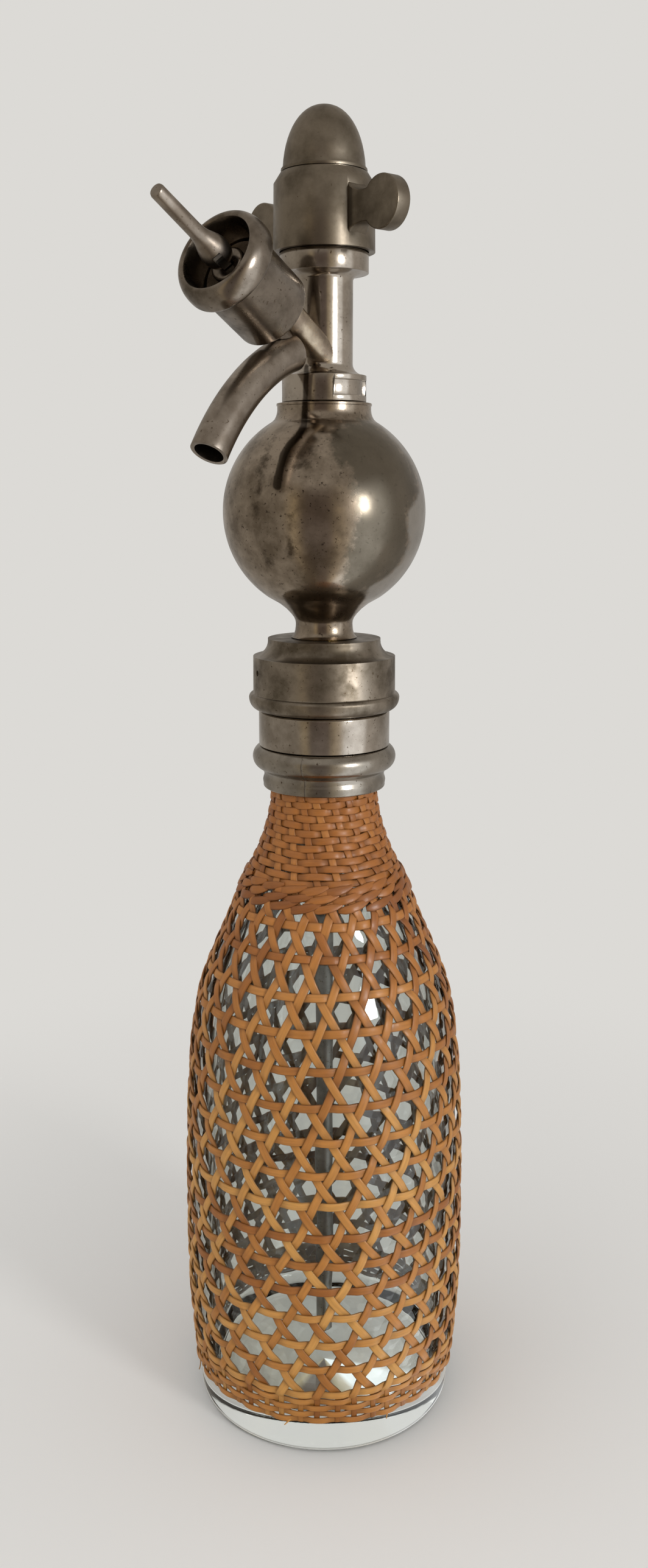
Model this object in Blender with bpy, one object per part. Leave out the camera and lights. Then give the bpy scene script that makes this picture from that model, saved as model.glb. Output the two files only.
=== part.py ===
"""Soda siphon: a cane-covered glass bottle under a nickel-plated head.

The head holds a gas bulb under a winged cap, a hollow ball, and an inclined tap with a tilting lever.
Metres, +Z up. The origin is on the bottle's axis, on the surface that the bottle stands on.
The tap points along -Y.
"""
import math

import bmesh
import bpy
from mathutils import Matrix, Vector

for old in list(bpy.data.objects):
    bpy.data.objects.remove(old, do_unlink=True)

# Clearances
GAP = 0.0003
OVERRUN = 0.002
TINY = 0.000001

# Glass bottle
BODY_RADIUS = 0.0456
SHOULDER_TOP = 0.2125
BASE_RADIUS = 0.0415
HEEL_RADIUS = 0.0022
GLASS_WALL = 0.0050
GLASS_FLOOR = 0.0110
FLOOR_CORNER = 0.0080
NECK_RADIUS = 0.0150
BORE_RADIUS = 0.0095
LIP_RADIUS = 0.0170
LIP_BOTTOM = 0.2334
LIP_TOP = 0.2470
LIP_ROUND = 0.0007
# Height and radius of the bottle's outer side, as shares of SHOULDER_TOP and BODY_RADIUS
BODY_SHARES = [
    (0.075, 0.960), (0.165, 0.990), (0.250, 1.000), (0.420, 0.993), (0.553, 0.967), (0.633, 0.930),
    (0.695, 0.875), (0.750, 0.782), (0.860, 0.568), (0.920, 0.434), (0.965, 0.362),
]
# Heights of the hollow's side, as shares of SHOULDER_TOP
HOLLOW_SHARES = [0.165, 0.420, 0.633, 0.750, 0.860, 0.948]

# Woven cane cover
CANE_THICKNESS = 0.0018
CANE_STANDOFF = 0.0006
CANE_WIDTH = 0.0030
COVER_BOTTOM = 0.0120
COVER_TOP = 0.2155
LATTICE_BOTTOM = 0.0234
LATTICE_TOP = 0.1772
LATTICE_ROWS = 9
LATTICE_COLUMNS = 16
# Heights of the plain woven bands' rings, as shares of the height between their two edges
LOWER_BAND_SHARES = [0.0, 0.5]
UPPER_BAND_SHARES = [0.25, 0.50, 0.75, 1.0]

# Split neck collar
COLLAR_BOTTOM = 0.2162
COLLAR_FOOT_RADIUS = 0.0197
COLLAR_WAIST_RADIUS = 0.0190
COLLAR_WAIST_HEIGHT = 0.0040
COLLAR_BEAD_RADIUS = 0.0041
COLLAR_BEAD_HEIGHT = 0.0100
COLLAR_BEAD_CENTRE = 0.0190
COLLAR_THREAD_RADIUS = 0.0189
COLLAR_THREAD_HEIGHT = 0.0020
COLLAR_SEAM_ANGLE = math.radians(18)

# Threaded neck ring
RING_RADIUS = 0.0210
RING_VISIBLE_HEIGHT = 0.0100
RING_THREAD_RADIUS = 0.0199
RING_THREAD_HEIGHT = 0.0115

# Neck gasket and head seat
GASKET_THICKNESS = 0.0020
SEAT_FLANGE_RADIUS = 0.0167
SEAT_FLANGE_THICKNESS = 0.0030
SEAT_SPIGOT_RADIUS = 0.0086
SEAT_SPIGOT_LENGTH = 0.0080
SEAT_STEM_RADIUS = 0.0080
GAS_PASSAGE_RADIUS = 0.0009
GAS_PASSAGE_OFFSET = 0.0062

# Liquid tubes
TUBE_RADIUS = 0.0038
TUBE_BORE_RADIUS = 0.0019
DIP_TUBE_BOTTOM = 0.0140
DIP_TUBE_SLANT = 0.0040

# Coupling cap
CAP_BEAD_CLEARANCE = 0.0003
CAP_BEAD_RADIUS = 0.0241
CAP_BEAD_HEIGHT = 0.0046
CAP_SIDE_RADIUS = 0.0226
CAP_LIP_RADIUS = 0.0208
CAP_SIDE_HEIGHT = 0.0177
CAP_DISC_RADIUS = 0.0179
CAP_HEIGHT = 0.0233
CAP_VENT_RADIUS = 0.0009
CAP_VENT_HEIGHT = 0.0130
CAP_VENT_ANGLE = math.radians(-32)

# Hollow ball
BALL_RADIUS = 0.0315
BALL_WALL = 0.0016
BALL_CENTRE_HEIGHT = 0.0391
BALL_WAIST_RADIUS = 0.0092
BALL_WAIST_HEIGHT = 0.0030
BALL_FOOT_RADIUS = 0.0112
BALL_FLARE_ANGLE = math.radians(-60)
BALL_RING_RADIUS = 0.0144
BALL_RING_HEIGHT = 0.0047
BALL_RING_TOP = 0.0326
BALL_STEPS = 7

# Column with its spanner collar and bulb seat
COLUMN_RADIUS = 0.0087
COLUMN_THREAD_RADIUS = 0.0092
COLUMN_THREAD_LENGTH = 0.0100
COLLAR_RADIUS = 0.0129
COLLAR_HEIGHT = 0.0078
COLLAR_CHAMFER = 0.0035
COLUMN_TOP = 0.0352
FLANGE_RADIUS = 0.0134
FLANGE_UNDERCUT = 0.0020
FLANGE_TOP = 0.0427
SPIGOT_RADIUS = 0.0131
SPIGOT_HEIGHT = 0.0100
CHAMBER_HEIGHT = 0.0210
RISER_SOCKET = 0.0195
WELL_RADIUS = 0.0066
WELL_DEPTH = 0.0250
WELL_MOUTH_RADIUS = 0.0096
WELL_MOUTH_DEPTH = 0.0070
SLOT_WIDTH = 0.0044
SLOT_DEPTH = 0.0012
SLOT_HEIGHT = 0.0040
SLOT_ANGLE = math.radians(48)
SLOT_SWEEP = math.radians(84)

# Gas bulb and piercer
PLUG_THICKNESS = 0.0065
PLUG_LIFT = 0.0015
WASHER_THICKNESS = 0.0015
WASHER_RADIUS = 0.0060
WASHER_HOLE_RADIUS = 0.0016
PIN_RADIUS = 0.0009
PIN_POINT = 0.0018
PIN_STICK_OUT = 0.0032
BULB_NECK_RADIUS = 0.0034
BULB_NECK_LENGTH = 0.0060
BULB_RADIUS = 0.0088
BULB_SHOULDER_LENGTH = 0.0120
BULB_LENGTH = 0.0415
BULB_WALL = 0.0014
BULB_HOLE_RADIUS = 0.0013

# Winged cap: nut, wings and dome
NUT_BOTTOM_RADIUS = 0.0153
NUT_TOP_RADIUS = 0.0150
NUT_HEIGHT = 0.0219
NUT_SHOULDER_HEIGHT = 0.0187
NUT_THREAD_RADIUS = 0.0134
NUT_TOP_THICKNESS = 0.0025
NUT_LIFT = 0.0005
DOME_RADIUS = 0.0123
DOME_HEIGHT = 0.0188
DOME_WALL = 0.0011
DOME_FLANGE_THICKNESS = 0.0026
DOME_FULLNESS = 1.12
WING_LOBE_RADIUS = 0.0074
WING_LOBE_CENTRE = 0.0273
WING_HEIGHT = 0.0102
WING_THICKNESS = 0.0050
WING_NECK_HEIGHT = 0.0090
WING_ROOT_HEIGHT = 0.0120
WING_EDGE_ROUND = 0.0010
WING_ANGLE = math.radians(-14)

# Tap
TAP_RISE = 0.0112
TAP_ELEVATION = math.radians(27.4)
HOUSING_RADIUS = 0.0116
HOUSING_BOTTOM = 0.0285
HOUSING_FLOOR = 0.0040
HOUSING_NECK_LENGTH = 0.0171
HOUSING_EDGE_ROUND = 0.0010
RIM_RADIUS = 0.0144
RIM_BACK_RADIUS = 0.0134
RIM_BACK_HEIGHT = 0.0006
RIM_WIDEST_HEIGHT = 0.0046
MOUTH_RADIUS = 0.0103
RIM_HEIGHT = 0.0111
VALVE_BORE_RADIUS = 0.0099
INLET_OFFSET = 0.0038
INLET_RADIUS = 0.0019
OUTLET_OFFSET = 0.0042
OUTLET_RADIUS = 0.0016

# Branch that feeds the tap
# The branch leaves the column beside its middle plane and runs to the tap's own plane
BRANCH_SIDE = 0.0036
BRANCH_DROP = 0.0009
BRANCH_START = 0.0042
BRANCH_RADIUS = 0.0042
BRANCH_BORE_RADIUS = 0.0023

# Outlet nipple and spout
NIPPLE_RADIUS = 0.0029
NIPPLE_BORE_RADIUS = 0.0018
NIPPLE_DROP = 0.0042
NIPPLE_LENGTH = 0.0100
SPOUT_RADIUS = 0.0055
SPOUT_BORE_RADIUS = 0.0043
SPOUT_BORE_START = 0.0045
# Reach from the bottle's axis, and height from the tap's own height, along the spout's middle line
SPOUT_ROOT_REACH = 0.0166
SPOUT_ROOT_RISE = 0.0022
SPOUT_END_REACH = 0.0543
SPOUT_DROP = 0.0271
SPOUT_ROOT_FALL = math.radians(-16)
SPOUT_END_FALL = math.radians(-57)
SPOUT_STEPS = 10
SPOUT_SIDES = 14

# Valve inside the tap
SEAT_RADIUS = 0.0029
SEAT_HEIGHT = 0.0010
DISC_THICKNESS = 0.0014
PLUNGER_RADIUS = 0.0048
PLUNGER_HEIGHT = 0.0046
PLUNGER_SHOULDER = 0.0014
PLUNGER_NECK_RADIUS = 0.0023
STEM_RADIUS = 0.0012
STEM_SOCKET = 0.0030
GLAND_THICKNESS = 0.0034
GLAND_SINK = 0.0016
GLAND_BOSS_RADIUS = 0.0052
GLAND_BOSS_LENGTH = 0.0075
PACKING_THICKNESS = 0.0016
SPRING_WIRE_RADIUS = 0.0004
SPRING_COIL_RADIUS = 0.0034
SPRING_TURNS = 3.5
SPRING_POINTS = 9
SPRING_SIDES = 5

# Lever
PIVOT_STANDOFF = 0.0032
LEVER_ROLL = math.radians(42)
PIN_SHAFT_RADIUS = 0.0010
TONGUE_RADIUS = 0.0023
TONGUE_THICKNESS = 0.0026
CHEEK_THICKNESS = 0.0015
CHEEK_RADIUS = 0.0028
CAM_RADIUS = 0.0029
CAM_OFFSET = 0.0019
FORK_ROOT = 0.0032
FORK_HEIGHT = 0.0062
FORK_HALF_WIDTH = 0.0024
ROD_RADIUS = 0.0020
ROD_LENGTH = 0.0277
ROD_END_CHAMFER = 0.0005

# Facet counts
FINE_STEPS = 40
ROUND_STEPS = 32
SMALL_STEPS = 16
TINY_STEPS = 10
ARC_STEPS = 4
DOME_STEPS = 6

# Heights that follow from the sizes above
GASKET_BOTTOM = LIP_TOP + GAP
SEAT_BOTTOM = GASKET_BOTTOM + GASKET_THICKNESS + GAP
COLLAR_TOP = COLLAR_BOTTOM + COLLAR_BEAD_HEIGHT + COLLAR_BEAD_RADIUS
RING_BOTTOM = COLLAR_TOP + GAP
RING_STEP = RING_BOTTOM + RING_VISIBLE_HEIGHT
CAP_BOTTOM = RING_STEP + CAP_BEAD_CLEARANCE
CAP_TOP = CAP_BOTTOM + CAP_HEIGHT
BALL_BOTTOM = CAP_TOP + GAP
BALL_CENTRE = BALL_BOTTOM + BALL_CENTRE_HEIGHT - GAP
BALL_TOP = BALL_CENTRE + BALL_RING_TOP
COLUMN_BOTTOM = BALL_TOP + GAP
FLANGE_HEIGHT = COLUMN_BOTTOM + FLANGE_TOP
SPIGOT_TOP = FLANGE_HEIGHT + SPIGOT_HEIGHT
WELL_BOTTOM = SPIGOT_TOP - WELL_DEPTH
PLUG_BOTTOM = WELL_BOTTOM + PLUG_LIFT
PLUG_TOP = PLUG_BOTTOM + PLUG_THICKNESS
WASHER_BOTTOM = PLUG_TOP + GAP
BULB_BOTTOM = WASHER_BOTTOM + WASHER_THICKNESS + GAP
NUT_BOTTOM = FLANGE_HEIGHT + NUT_LIFT
NUT_TOP = NUT_BOTTOM + NUT_HEIGHT
NUT_SHELF = NUT_TOP - NUT_TOP_THICKNESS
DOME_FLANGE_TOP = NUT_SHELF - GAP
RISER_BOTTOM = SEAT_BOTTOM
CHAMBER_RADIUS = TUBE_RADIUS + GAP
RISER_TOP = COLUMN_BOTTOM - COLUMN_THREAD_LENGTH + RISER_SOCKET
TAP_HEIGHT = COLUMN_BOTTOM + TAP_RISE
SPOUT_ROOT_HEIGHT = TAP_HEIGHT + SPOUT_ROOT_RISE
SPOUT_END_HEIGHT = TAP_HEIGHT - SPOUT_DROP
VALVE_FLOOR = HOUSING_BOTTOM + HOUSING_FLOOR
HOUSING_NECK = HOUSING_BOTTOM + HOUSING_NECK_LENGTH
MOUTH_HEIGHT = HOUSING_NECK + RIM_HEIGHT
GLAND_BOTTOM = HOUSING_NECK - GLAND_SINK
GLAND_BOSS_TOP = GLAND_BOTTOM + GLAND_BOSS_LENGTH
PIVOT_HEIGHT = GLAND_BOSS_TOP + PIVOT_STANDOFF
DISC_BOTTOM = VALVE_FLOOR + SEAT_HEIGHT + GAP
PLUNGER_BOTTOM = DISC_BOTTOM + DISC_THICKNESS + GAP
PLUNGER_TOP = PLUNGER_BOTTOM + PLUNGER_HEIGHT
PACKING_BOTTOM = GLAND_BOTTOM - GAP - PACKING_THICKNESS


def material(name, colour, metallic, roughness, transmission=0.0, index=1.45):
    """A plain finish for one kind of piece."""
    finish = bpy.data.materials.get(name)
    if finish is None:
        finish = bpy.data.materials.new(name)
        finish.use_nodes = True
        shader = finish.node_tree.nodes["Principled BSDF"]
        shader.inputs["Base Color"].default_value = (*colour, 1.0)
        shader.inputs["Metallic"].default_value = metallic
        shader.inputs["Roughness"].default_value = roughness
        shader.inputs["Transmission Weight"].default_value = transmission
        shader.inputs["IOR"].default_value = index
        finish.diffuse_color = (*colour, 1.0)
        finish.metallic = metallic
        finish.roughness = roughness
    return finish


GLASS = ("clear_glass", (0.85, 0.90, 0.88), 0.0, 0.03, 1.0, 1.5)
CANE = ("amber_cane", (0.45, 0.20, 0.06), 0.0, 0.45)
NICKEL = ("polished_nickel", (0.46, 0.42, 0.38), 1.0, 0.18)
TARNISHED = ("tarnished_nickel", (0.28, 0.24, 0.20), 1.0, 0.34)
DULL = ("dull_nickel", (0.17, 0.15, 0.12), 1.0, 0.45)
STEEL = ("bulb_steel", (0.38, 0.38, 0.38), 1.0, 0.35)
TIN = ("tinned_tube", (0.33, 0.33, 0.32), 1.0, 0.40)
BRASS = ("turned_brass", (0.55, 0.40, 0.16), 1.0, 0.30)
RUBBER = ("grey_rubber", (0.07, 0.06, 0.06), 0.0, 0.75)
LEATHER = ("greased_leather", (0.16, 0.09, 0.05), 0.0, 0.70)


def empty(name, location=(0, 0, 0), rotation=(0, 0, 0), parent=None):
    """A frame that pieces are placed in."""
    frame = bpy.data.objects.new(name, None)
    frame.location = location
    frame.rotation_euler = rotation
    frame.parent = parent
    bpy.context.scene.collection.objects.link(frame)
    return frame


def finish_mesh(bm, name, finish, frame=None, sharp=math.radians(35)):
    """Turns the bmesh into a named object, shaded smooth up to the sharp angle."""
    bmesh.ops.remove_doubles(bm, verts=bm.verts, dist=TINY)
    bmesh.ops.recalc_face_normals(bm, faces=bm.faces)
    mesh = bpy.data.meshes.new(name)
    bm.to_mesh(mesh)
    bm.free()
    mesh.shade_smooth()
    mesh.set_sharp_from_angle(angle=sharp)
    mesh.materials.append(material(*finish))
    piece = bpy.data.objects.new(name, mesh)
    piece.parent = frame
    bpy.context.scene.collection.objects.link(piece)
    return piece


def lathe(bm, outline, steps, closed=True, start=0.0, sweep=2 * math.pi):
    """Spins an outline of (radius, height) points round the Z axis."""
    turn = Matrix.Rotation(start, 4, 'Z')
    verts = [bm.verts.new(turn @ Vector((radius, 0, height))) for radius, height in outline]
    pairs = list(zip(verts, verts[1:]))
    if closed:
        pairs.append((verts[-1], verts[0]))
    edges = [bm.edges.new(pair) for pair in pairs if max(abs(pair[0].co.x), abs(pair[1].co.x)) > TINY]
    whole = sweep >= 2 * math.pi
    if not whole:
        first = bm.faces.new(verts)
        lid = first.copy()
        bmesh.ops.reverse_faces(bm, faces=[lid])
        bmesh.ops.rotate(bm, verts=lid.verts, cent=(0, 0, 0), matrix=Matrix.Rotation(sweep, 3, 'Z'))
    bmesh.ops.spin(bm, geom=verts + edges, cent=(0, 0, 0), axis=(0, 0, 1), angle=sweep, steps=steps)


def turned(name, outline, steps, finish, frame=None, closed=True):
    """A round piece with its outline as (radius, height) points."""
    bm = bmesh.new()
    lathe(bm, outline, steps, closed)
    return finish_mesh(bm, name, finish, frame)


def arc(centre_radius, centre_height, radius, first, last, steps):
    """Points of an arc in an outline, its angles measured from the outward direction."""
    points = []
    for step in range(steps + 1):
        angle = first + (last - first) * step / steps
        points.append((centre_radius + radius * math.cos(angle), centre_height + radius * math.sin(angle)))
    return points


def rod(radius, bottom, top):
    """Outline of a solid rod."""
    return [(0, bottom), (radius, bottom), (radius, top), (0, top)]


def tube(bore, radius, bottom, top):
    """Outline of a plain tube or washer."""
    return [(bore, bottom), (radius, bottom), (radius, top), (bore, top)]


def cutter(bm, name, frame=None):
    """A shape that only cuts, and isn't part of the siphon."""
    tool = finish_mesh(bm, name, BRASS, frame)
    tool.hide_render = True
    tool.display_type = 'WIRE'
    return tool


def cylinder_cutter(name, radius, bottom, top, place=None, frame=None, steps=TINY_STEPS):
    """A round cutter along its own Z axis, moved by the matrix place."""
    bm = bmesh.new()
    lathe(bm, rod(radius, bottom, top), steps, closed=False)
    if place is not None:
        bmesh.ops.transform(bm, matrix=place, verts=bm.verts)
    return cutter(bm, name, frame)


def boolean(piece, tool, operation='DIFFERENCE'):
    """Cuts the tool out of the piece, or joins it on."""
    change = piece.modifiers.new(operation.lower(), 'BOOLEAN')
    change.operation = operation
    change.solver = 'EXACT'
    change.object = tool


def bottle_radius(height):
    """Radius of the bottle's outer side at a height, between the points of its outline."""
    points = [(SHOULDER_TOP * up, BODY_RADIUS * out) for up, out in BODY_SHARES]
    points = [(HEEL_RADIUS, BASE_RADIUS + HEEL_RADIUS)] + points + [(SHOULDER_TOP, NECK_RADIUS)]
    if height <= points[0][0]:
        return points[0][1]
    for (low, low_radius), (high, high_radius) in zip(points, points[1:]):
        if height <= high:
            return low_radius + (high_radius - low_radius) * (height - low) / (high - low)
    return NECK_RADIUS


def make_bottle():
    """Thick clear glass: flat base, rounded heel, long shoulder and a lip that the collar grips."""
    outline = [(0, 0)]
    outline += arc(BASE_RADIUS, HEEL_RADIUS, HEEL_RADIUS, -math.pi / 2, 0, 3)
    outline += [(BODY_RADIUS * out, SHOULDER_TOP * up) for up, out in BODY_SHARES]
    outline += [(NECK_RADIUS, SHOULDER_TOP), (NECK_RADIUS, LIP_BOTTOM - LIP_ROUND)]
    outline += [(LIP_RADIUS, LIP_BOTTOM), (LIP_RADIUS, LIP_TOP - LIP_ROUND)]
    outline += [(LIP_RADIUS - LIP_ROUND, LIP_TOP)]
    outline += [(BORE_RADIUS + LIP_ROUND, LIP_TOP), (BORE_RADIUS, LIP_TOP - LIP_ROUND)]
    outline += [(BORE_RADIUS, SHOULDER_TOP)]
    for up in reversed(HOLLOW_SHARES):
        outline.append((bottle_radius(SHOULDER_TOP * up) - GLASS_WALL, SHOULDER_TOP * up))
    inner = bottle_radius(GLASS_FLOOR + FLOOR_CORNER) - GLASS_WALL
    outline += arc(inner - FLOOR_CORNER, GLASS_FLOOR + FLOOR_CORNER, FLOOR_CORNER, 0, -math.pi / 2, 2)
    outline += [(0, GLASS_FLOOR)]
    turned("glass_bottle", outline, FINE_STEPS, GLASS, closed=False)


def cover_point(angle, height):
    """A point on the cane cover's outer side."""
    slope = (bottle_radius(height + CANE_WIDTH) - bottle_radius(height - CANE_WIDTH)) / (2 * CANE_WIDTH)
    stand = (CANE_THICKNESS + CANE_STANDOFF) * math.sqrt(1 + slope * slope)
    radius = bottle_radius(height) + stand
    return Vector((radius * math.cos(angle), radius * math.sin(angle), height))


def zip_rings(bm, low, high):
    """Fills the band between two rings of (angle, vertex) pairs with triangles, by angle."""
    i, j = 0, 0
    while i < len(low) or j < len(high):
        next_low = low[(i + 1) % len(low)][0] + (2 * math.pi if i + 1 >= len(low) else 0)
        next_high = high[(j + 1) % len(high)][0] + (2 * math.pi if j + 1 >= len(high) else 0)
        a = low[i % len(low)][1]
        b = high[j % len(high)][1]
        if i < len(low) and (j >= len(high) or next_low <= next_high):
            i += 1
            bm.faces.new((a, low[i % len(low)][1], b))
        else:
            j += 1
            bm.faces.new((a, high[j % len(high)][1], b))


def cover_ring(bm, height):
    """A plain ring of the cover, as (angle, vertex) pairs."""
    count = 2 * LATTICE_COLUMNS
    return [(turn * 2 * math.pi / count, bm.verts.new(cover_point(turn * 2 * math.pi / count, height)))
            for turn in range(count)]


def hexagon_row(bm, row):
    """Corners of one row of openings: the lower chain and the upper chain, as (angle, vertex) pairs."""
    pitch = (LATTICE_TOP - LATTICE_BOTTOM) / LATTICE_ROWS
    middle = LATTICE_BOTTOM + pitch * (row + 0.5)
    column = 2 * math.pi / LATTICE_COLUMNS
    opening = 1 - CANE_WIDTH / pitch
    half_height = pitch / 2 * opening
    lower, upper = [], []
    for turn in range(LATTICE_COLUMNS):
        centre = column * (turn + 0.5 * (row % 2))
        first = centre - column / 2 * opening
        last = centre + column / 2 * opening
        left = (first, bm.verts.new(cover_point(first, middle)))
        right = (last, bm.verts.new(cover_point(last, middle)))
        for chain, height in ((lower, middle - half_height), (upper, middle + half_height)):
            chain.append(left)
            for side in (-1, 1):
                angle = centre + side * column / 4 * opening
                chain.append((angle, bm.verts.new(cover_point(angle, height))))
            chain.append(right)
    return lower, upper


def make_cover():
    """Cane woven close at the neck and the foot, and in open hexagons between them."""
    bm = bmesh.new()
    foot = [COVER_BOTTOM + (LATTICE_BOTTOM - COVER_BOTTOM) * share for share in LOWER_BAND_SHARES]
    crown = [LATTICE_TOP + (COVER_TOP - LATTICE_TOP) * share for share in UPPER_BAND_SHARES]
    rings = [cover_ring(bm, height) for height in foot]
    for low, high in zip(rings, rings[1:]):
        zip_rings(bm, low, high)
    below = rings[-1]
    for row in range(LATTICE_ROWS):
        lower, upper = hexagon_row(bm, row)
        zip_rings(bm, below, lower)
        below = upper
    for height in crown:
        ring = cover_ring(bm, height)
        zip_rings(bm, below, ring)
        below = ring
    for face in bm.faces:
        face.smooth = True
    mesh = bpy.data.meshes.new("cane_cover")
    bm.normal_update()
    bm.to_mesh(mesh)
    bm.free()
    mesh.materials.append(material(*CANE))
    piece = bpy.data.objects.new("cane_cover", mesh)
    bpy.context.scene.collection.objects.link(piece)
    wall = piece.modifiers.new("cane thickness", 'SOLIDIFY')
    wall.thickness = CANE_THICKNESS
    wall.offset = -1


def make_neck_collar():
    """Two halves that close round the bottle's neck, under its lip."""
    bead = arc(COLLAR_BEAD_CENTRE, COLLAR_BOTTOM + COLLAR_BEAD_HEIGHT, COLLAR_BEAD_RADIUS,
               -math.pi / 2, math.pi / 2, 6)
    inside = NECK_RADIUS + GAP
    thread_top = COLLAR_TOP + COLLAR_THREAD_HEIGHT
    outline = [(inside, COLLAR_BOTTOM), (COLLAR_FOOT_RADIUS, COLLAR_BOTTOM)]
    outline += [(COLLAR_WAIST_RADIUS, COLLAR_BOTTOM + COLLAR_WAIST_HEIGHT)]
    outline += bead
    outline += [(COLLAR_THREAD_RADIUS, COLLAR_TOP), (COLLAR_THREAD_RADIUS, thread_top), (inside, thread_top)]
    kerf = GAP / inside
    for side, name in enumerate(("neck_collar_left", "neck_collar_right")):
        start = COLLAR_SEAM_ANGLE - math.pi / 2 + math.pi * side + kerf / 2
        bm = bmesh.new()
        lathe(bm, outline, ROUND_STEPS // 2, start=start, sweep=math.pi - kerf)
        finish_mesh(bm, name, NICKEL)


def make_neck_ring():
    """Ring screwed on the collar halves, with the thread that the coupling cap turns on."""
    around_collar = COLLAR_THREAD_RADIUS + GAP
    around_lip = LIP_RADIUS + GAP
    step = COLLAR_TOP + COLLAR_THREAD_HEIGHT + GAP
    top = RING_STEP + RING_THREAD_HEIGHT
    outline = [(around_collar, RING_BOTTOM), (RING_RADIUS, RING_BOTTOM), (RING_RADIUS, RING_STEP)]
    outline += [(RING_THREAD_RADIUS, RING_STEP), (RING_THREAD_RADIUS, top), (around_lip, top)]
    outline += [(around_lip, step), (around_collar, step)]
    turned("neck_ring", outline, ROUND_STEPS, NICKEL)


def make_head_seat():
    """Rubber gasket on the bottle's lip, and the seat that the cap pulls down on it."""
    gasket = tube(BORE_RADIUS, LIP_RADIUS, GASKET_BOTTOM, GASKET_BOTTOM + GASKET_THICKNESS)
    turned("neck_gasket", gasket, ROUND_STEPS, RUBBER)
    bore = TUBE_RADIUS + GAP
    foot = SEAT_BOTTOM - SEAT_SPIGOT_LENGTH
    flange_top = SEAT_BOTTOM + SEAT_FLANGE_THICKNESS
    stem_top = BALL_BOTTOM + BALL_WAIST_HEIGHT
    outline = [(bore, foot), (SEAT_SPIGOT_RADIUS, foot), (SEAT_SPIGOT_RADIUS, SEAT_BOTTOM)]
    outline += [(SEAT_FLANGE_RADIUS, SEAT_BOTTOM), (SEAT_FLANGE_RADIUS, flange_top)]
    outline += [(SEAT_STEM_RADIUS, flange_top), (SEAT_STEM_RADIUS, stem_top), (bore, stem_top)]
    seat = turned("head_seat", outline, SMALL_STEPS, BRASS)
    for side in (-1, 1):
        place = Matrix.Translation((side * GAS_PASSAGE_OFFSET, 0, 0))
        name = "gas_passage_cutter_left" if side < 0 else "gas_passage_cutter_right"
        drill = cylinder_cutter(name, GAS_PASSAGE_RADIUS, foot - OVERRUN, stem_top + OVERRUN, place, steps=8)
        boolean(seat, drill)


def make_coupling_cap():
    """Cap that screws on the neck ring: bead, plain side with a vent, hollow shoulder and flat disc."""
    side_top = CAP_BOTTOM + CAP_SIDE_HEIGHT
    hole = SEAT_STEM_RADIUS + GAP
    inside = RING_THREAD_RADIUS + GAP
    floor = SEAT_BOTTOM + SEAT_FLANGE_THICKNESS + GAP
    outline = [(inside, CAP_BOTTOM), (CAP_LIP_RADIUS, CAP_BOTTOM)]
    outline += arc(CAP_SIDE_RADIUS, CAP_BOTTOM + CAP_BEAD_HEIGHT, CAP_BEAD_RADIUS - CAP_SIDE_RADIUS,
                   -math.pi / 3, math.pi / 2, 4)
    outline += [(CAP_SIDE_RADIUS, side_top)]
    cove_width = CAP_SIDE_RADIUS - CAP_DISC_RADIUS
    cove_height = CAP_TOP - side_top
    for step in range(1, ARC_STEPS):
        angle = math.pi / 2 * step / ARC_STEPS
        outline.append((CAP_SIDE_RADIUS - cove_width * math.sin(angle),
                        side_top + cove_height * (1 - math.cos(angle))))
    outline += [(CAP_DISC_RADIUS, CAP_TOP), (hole, CAP_TOP), (hole, floor), (inside, floor)]
    cap = turned("coupling_cap", outline, ROUND_STEPS, TARNISHED)
    bore = Matrix.Translation((0, 0, CAP_BOTTOM + CAP_VENT_HEIGHT))
    bore = bore @ Matrix.Rotation(CAP_VENT_ANGLE - math.pi / 2, 4, 'Z') @ Matrix.Rotation(math.pi / 2, 4, 'Y')
    vent = cylinder_cutter("vent_cutter", CAP_VENT_RADIUS, inside - OVERRUN, CAP_SIDE_RADIUS + OVERRUN, bore)
    boolean(cap, vent)


def make_ball():
    """Hollow ball that the gas expands in, with a waisted foot and a ring at its top."""
    ring_bottom = BALL_TOP - BALL_RING_HEIGHT
    ring_angle = math.asin((ring_bottom - BALL_CENTRE) / BALL_RADIUS)
    waist = BALL_BOTTOM + BALL_WAIST_HEIGHT
    inner = BALL_RADIUS - BALL_WALL
    foot_bore = SEAT_STEM_RADIUS + GAP
    top_bore = COLUMN_THREAD_RADIUS + GAP
    low_angle = -math.acos(foot_bore / inner)
    high_angle = math.acos(top_bore / inner)
    outline = [(foot_bore, BALL_BOTTOM), (BALL_FOOT_RADIUS, BALL_BOTTOM), (BALL_WAIST_RADIUS, waist)]
    outline += arc(0, BALL_CENTRE, BALL_RADIUS, BALL_FLARE_ANGLE, ring_angle, 2 * BALL_STEPS)
    outline += [(BALL_RING_RADIUS, ring_bottom), (BALL_RING_RADIUS, BALL_TOP), (top_bore, BALL_TOP)]
    outline += arc(0, BALL_CENTRE, inner, high_angle, low_angle, BALL_STEPS)
    turned("gas_ball", outline, ROUND_STEPS, TARNISHED)


def branch_place(tap):
    """Matrix that lays a piece's own Z axis along the branch, from inside the column to the housing."""
    start = Vector((BRANCH_SIDE, 0, TAP_HEIGHT - BRANCH_DROP))
    end = tap.matrix_basis @ Vector((0, INLET_OFFSET, HOUSING_BOTTOM))
    return Matrix.Translation(start) @ (end - start).to_track_quat('Z', 'Y').to_matrix().to_4x4()


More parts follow.
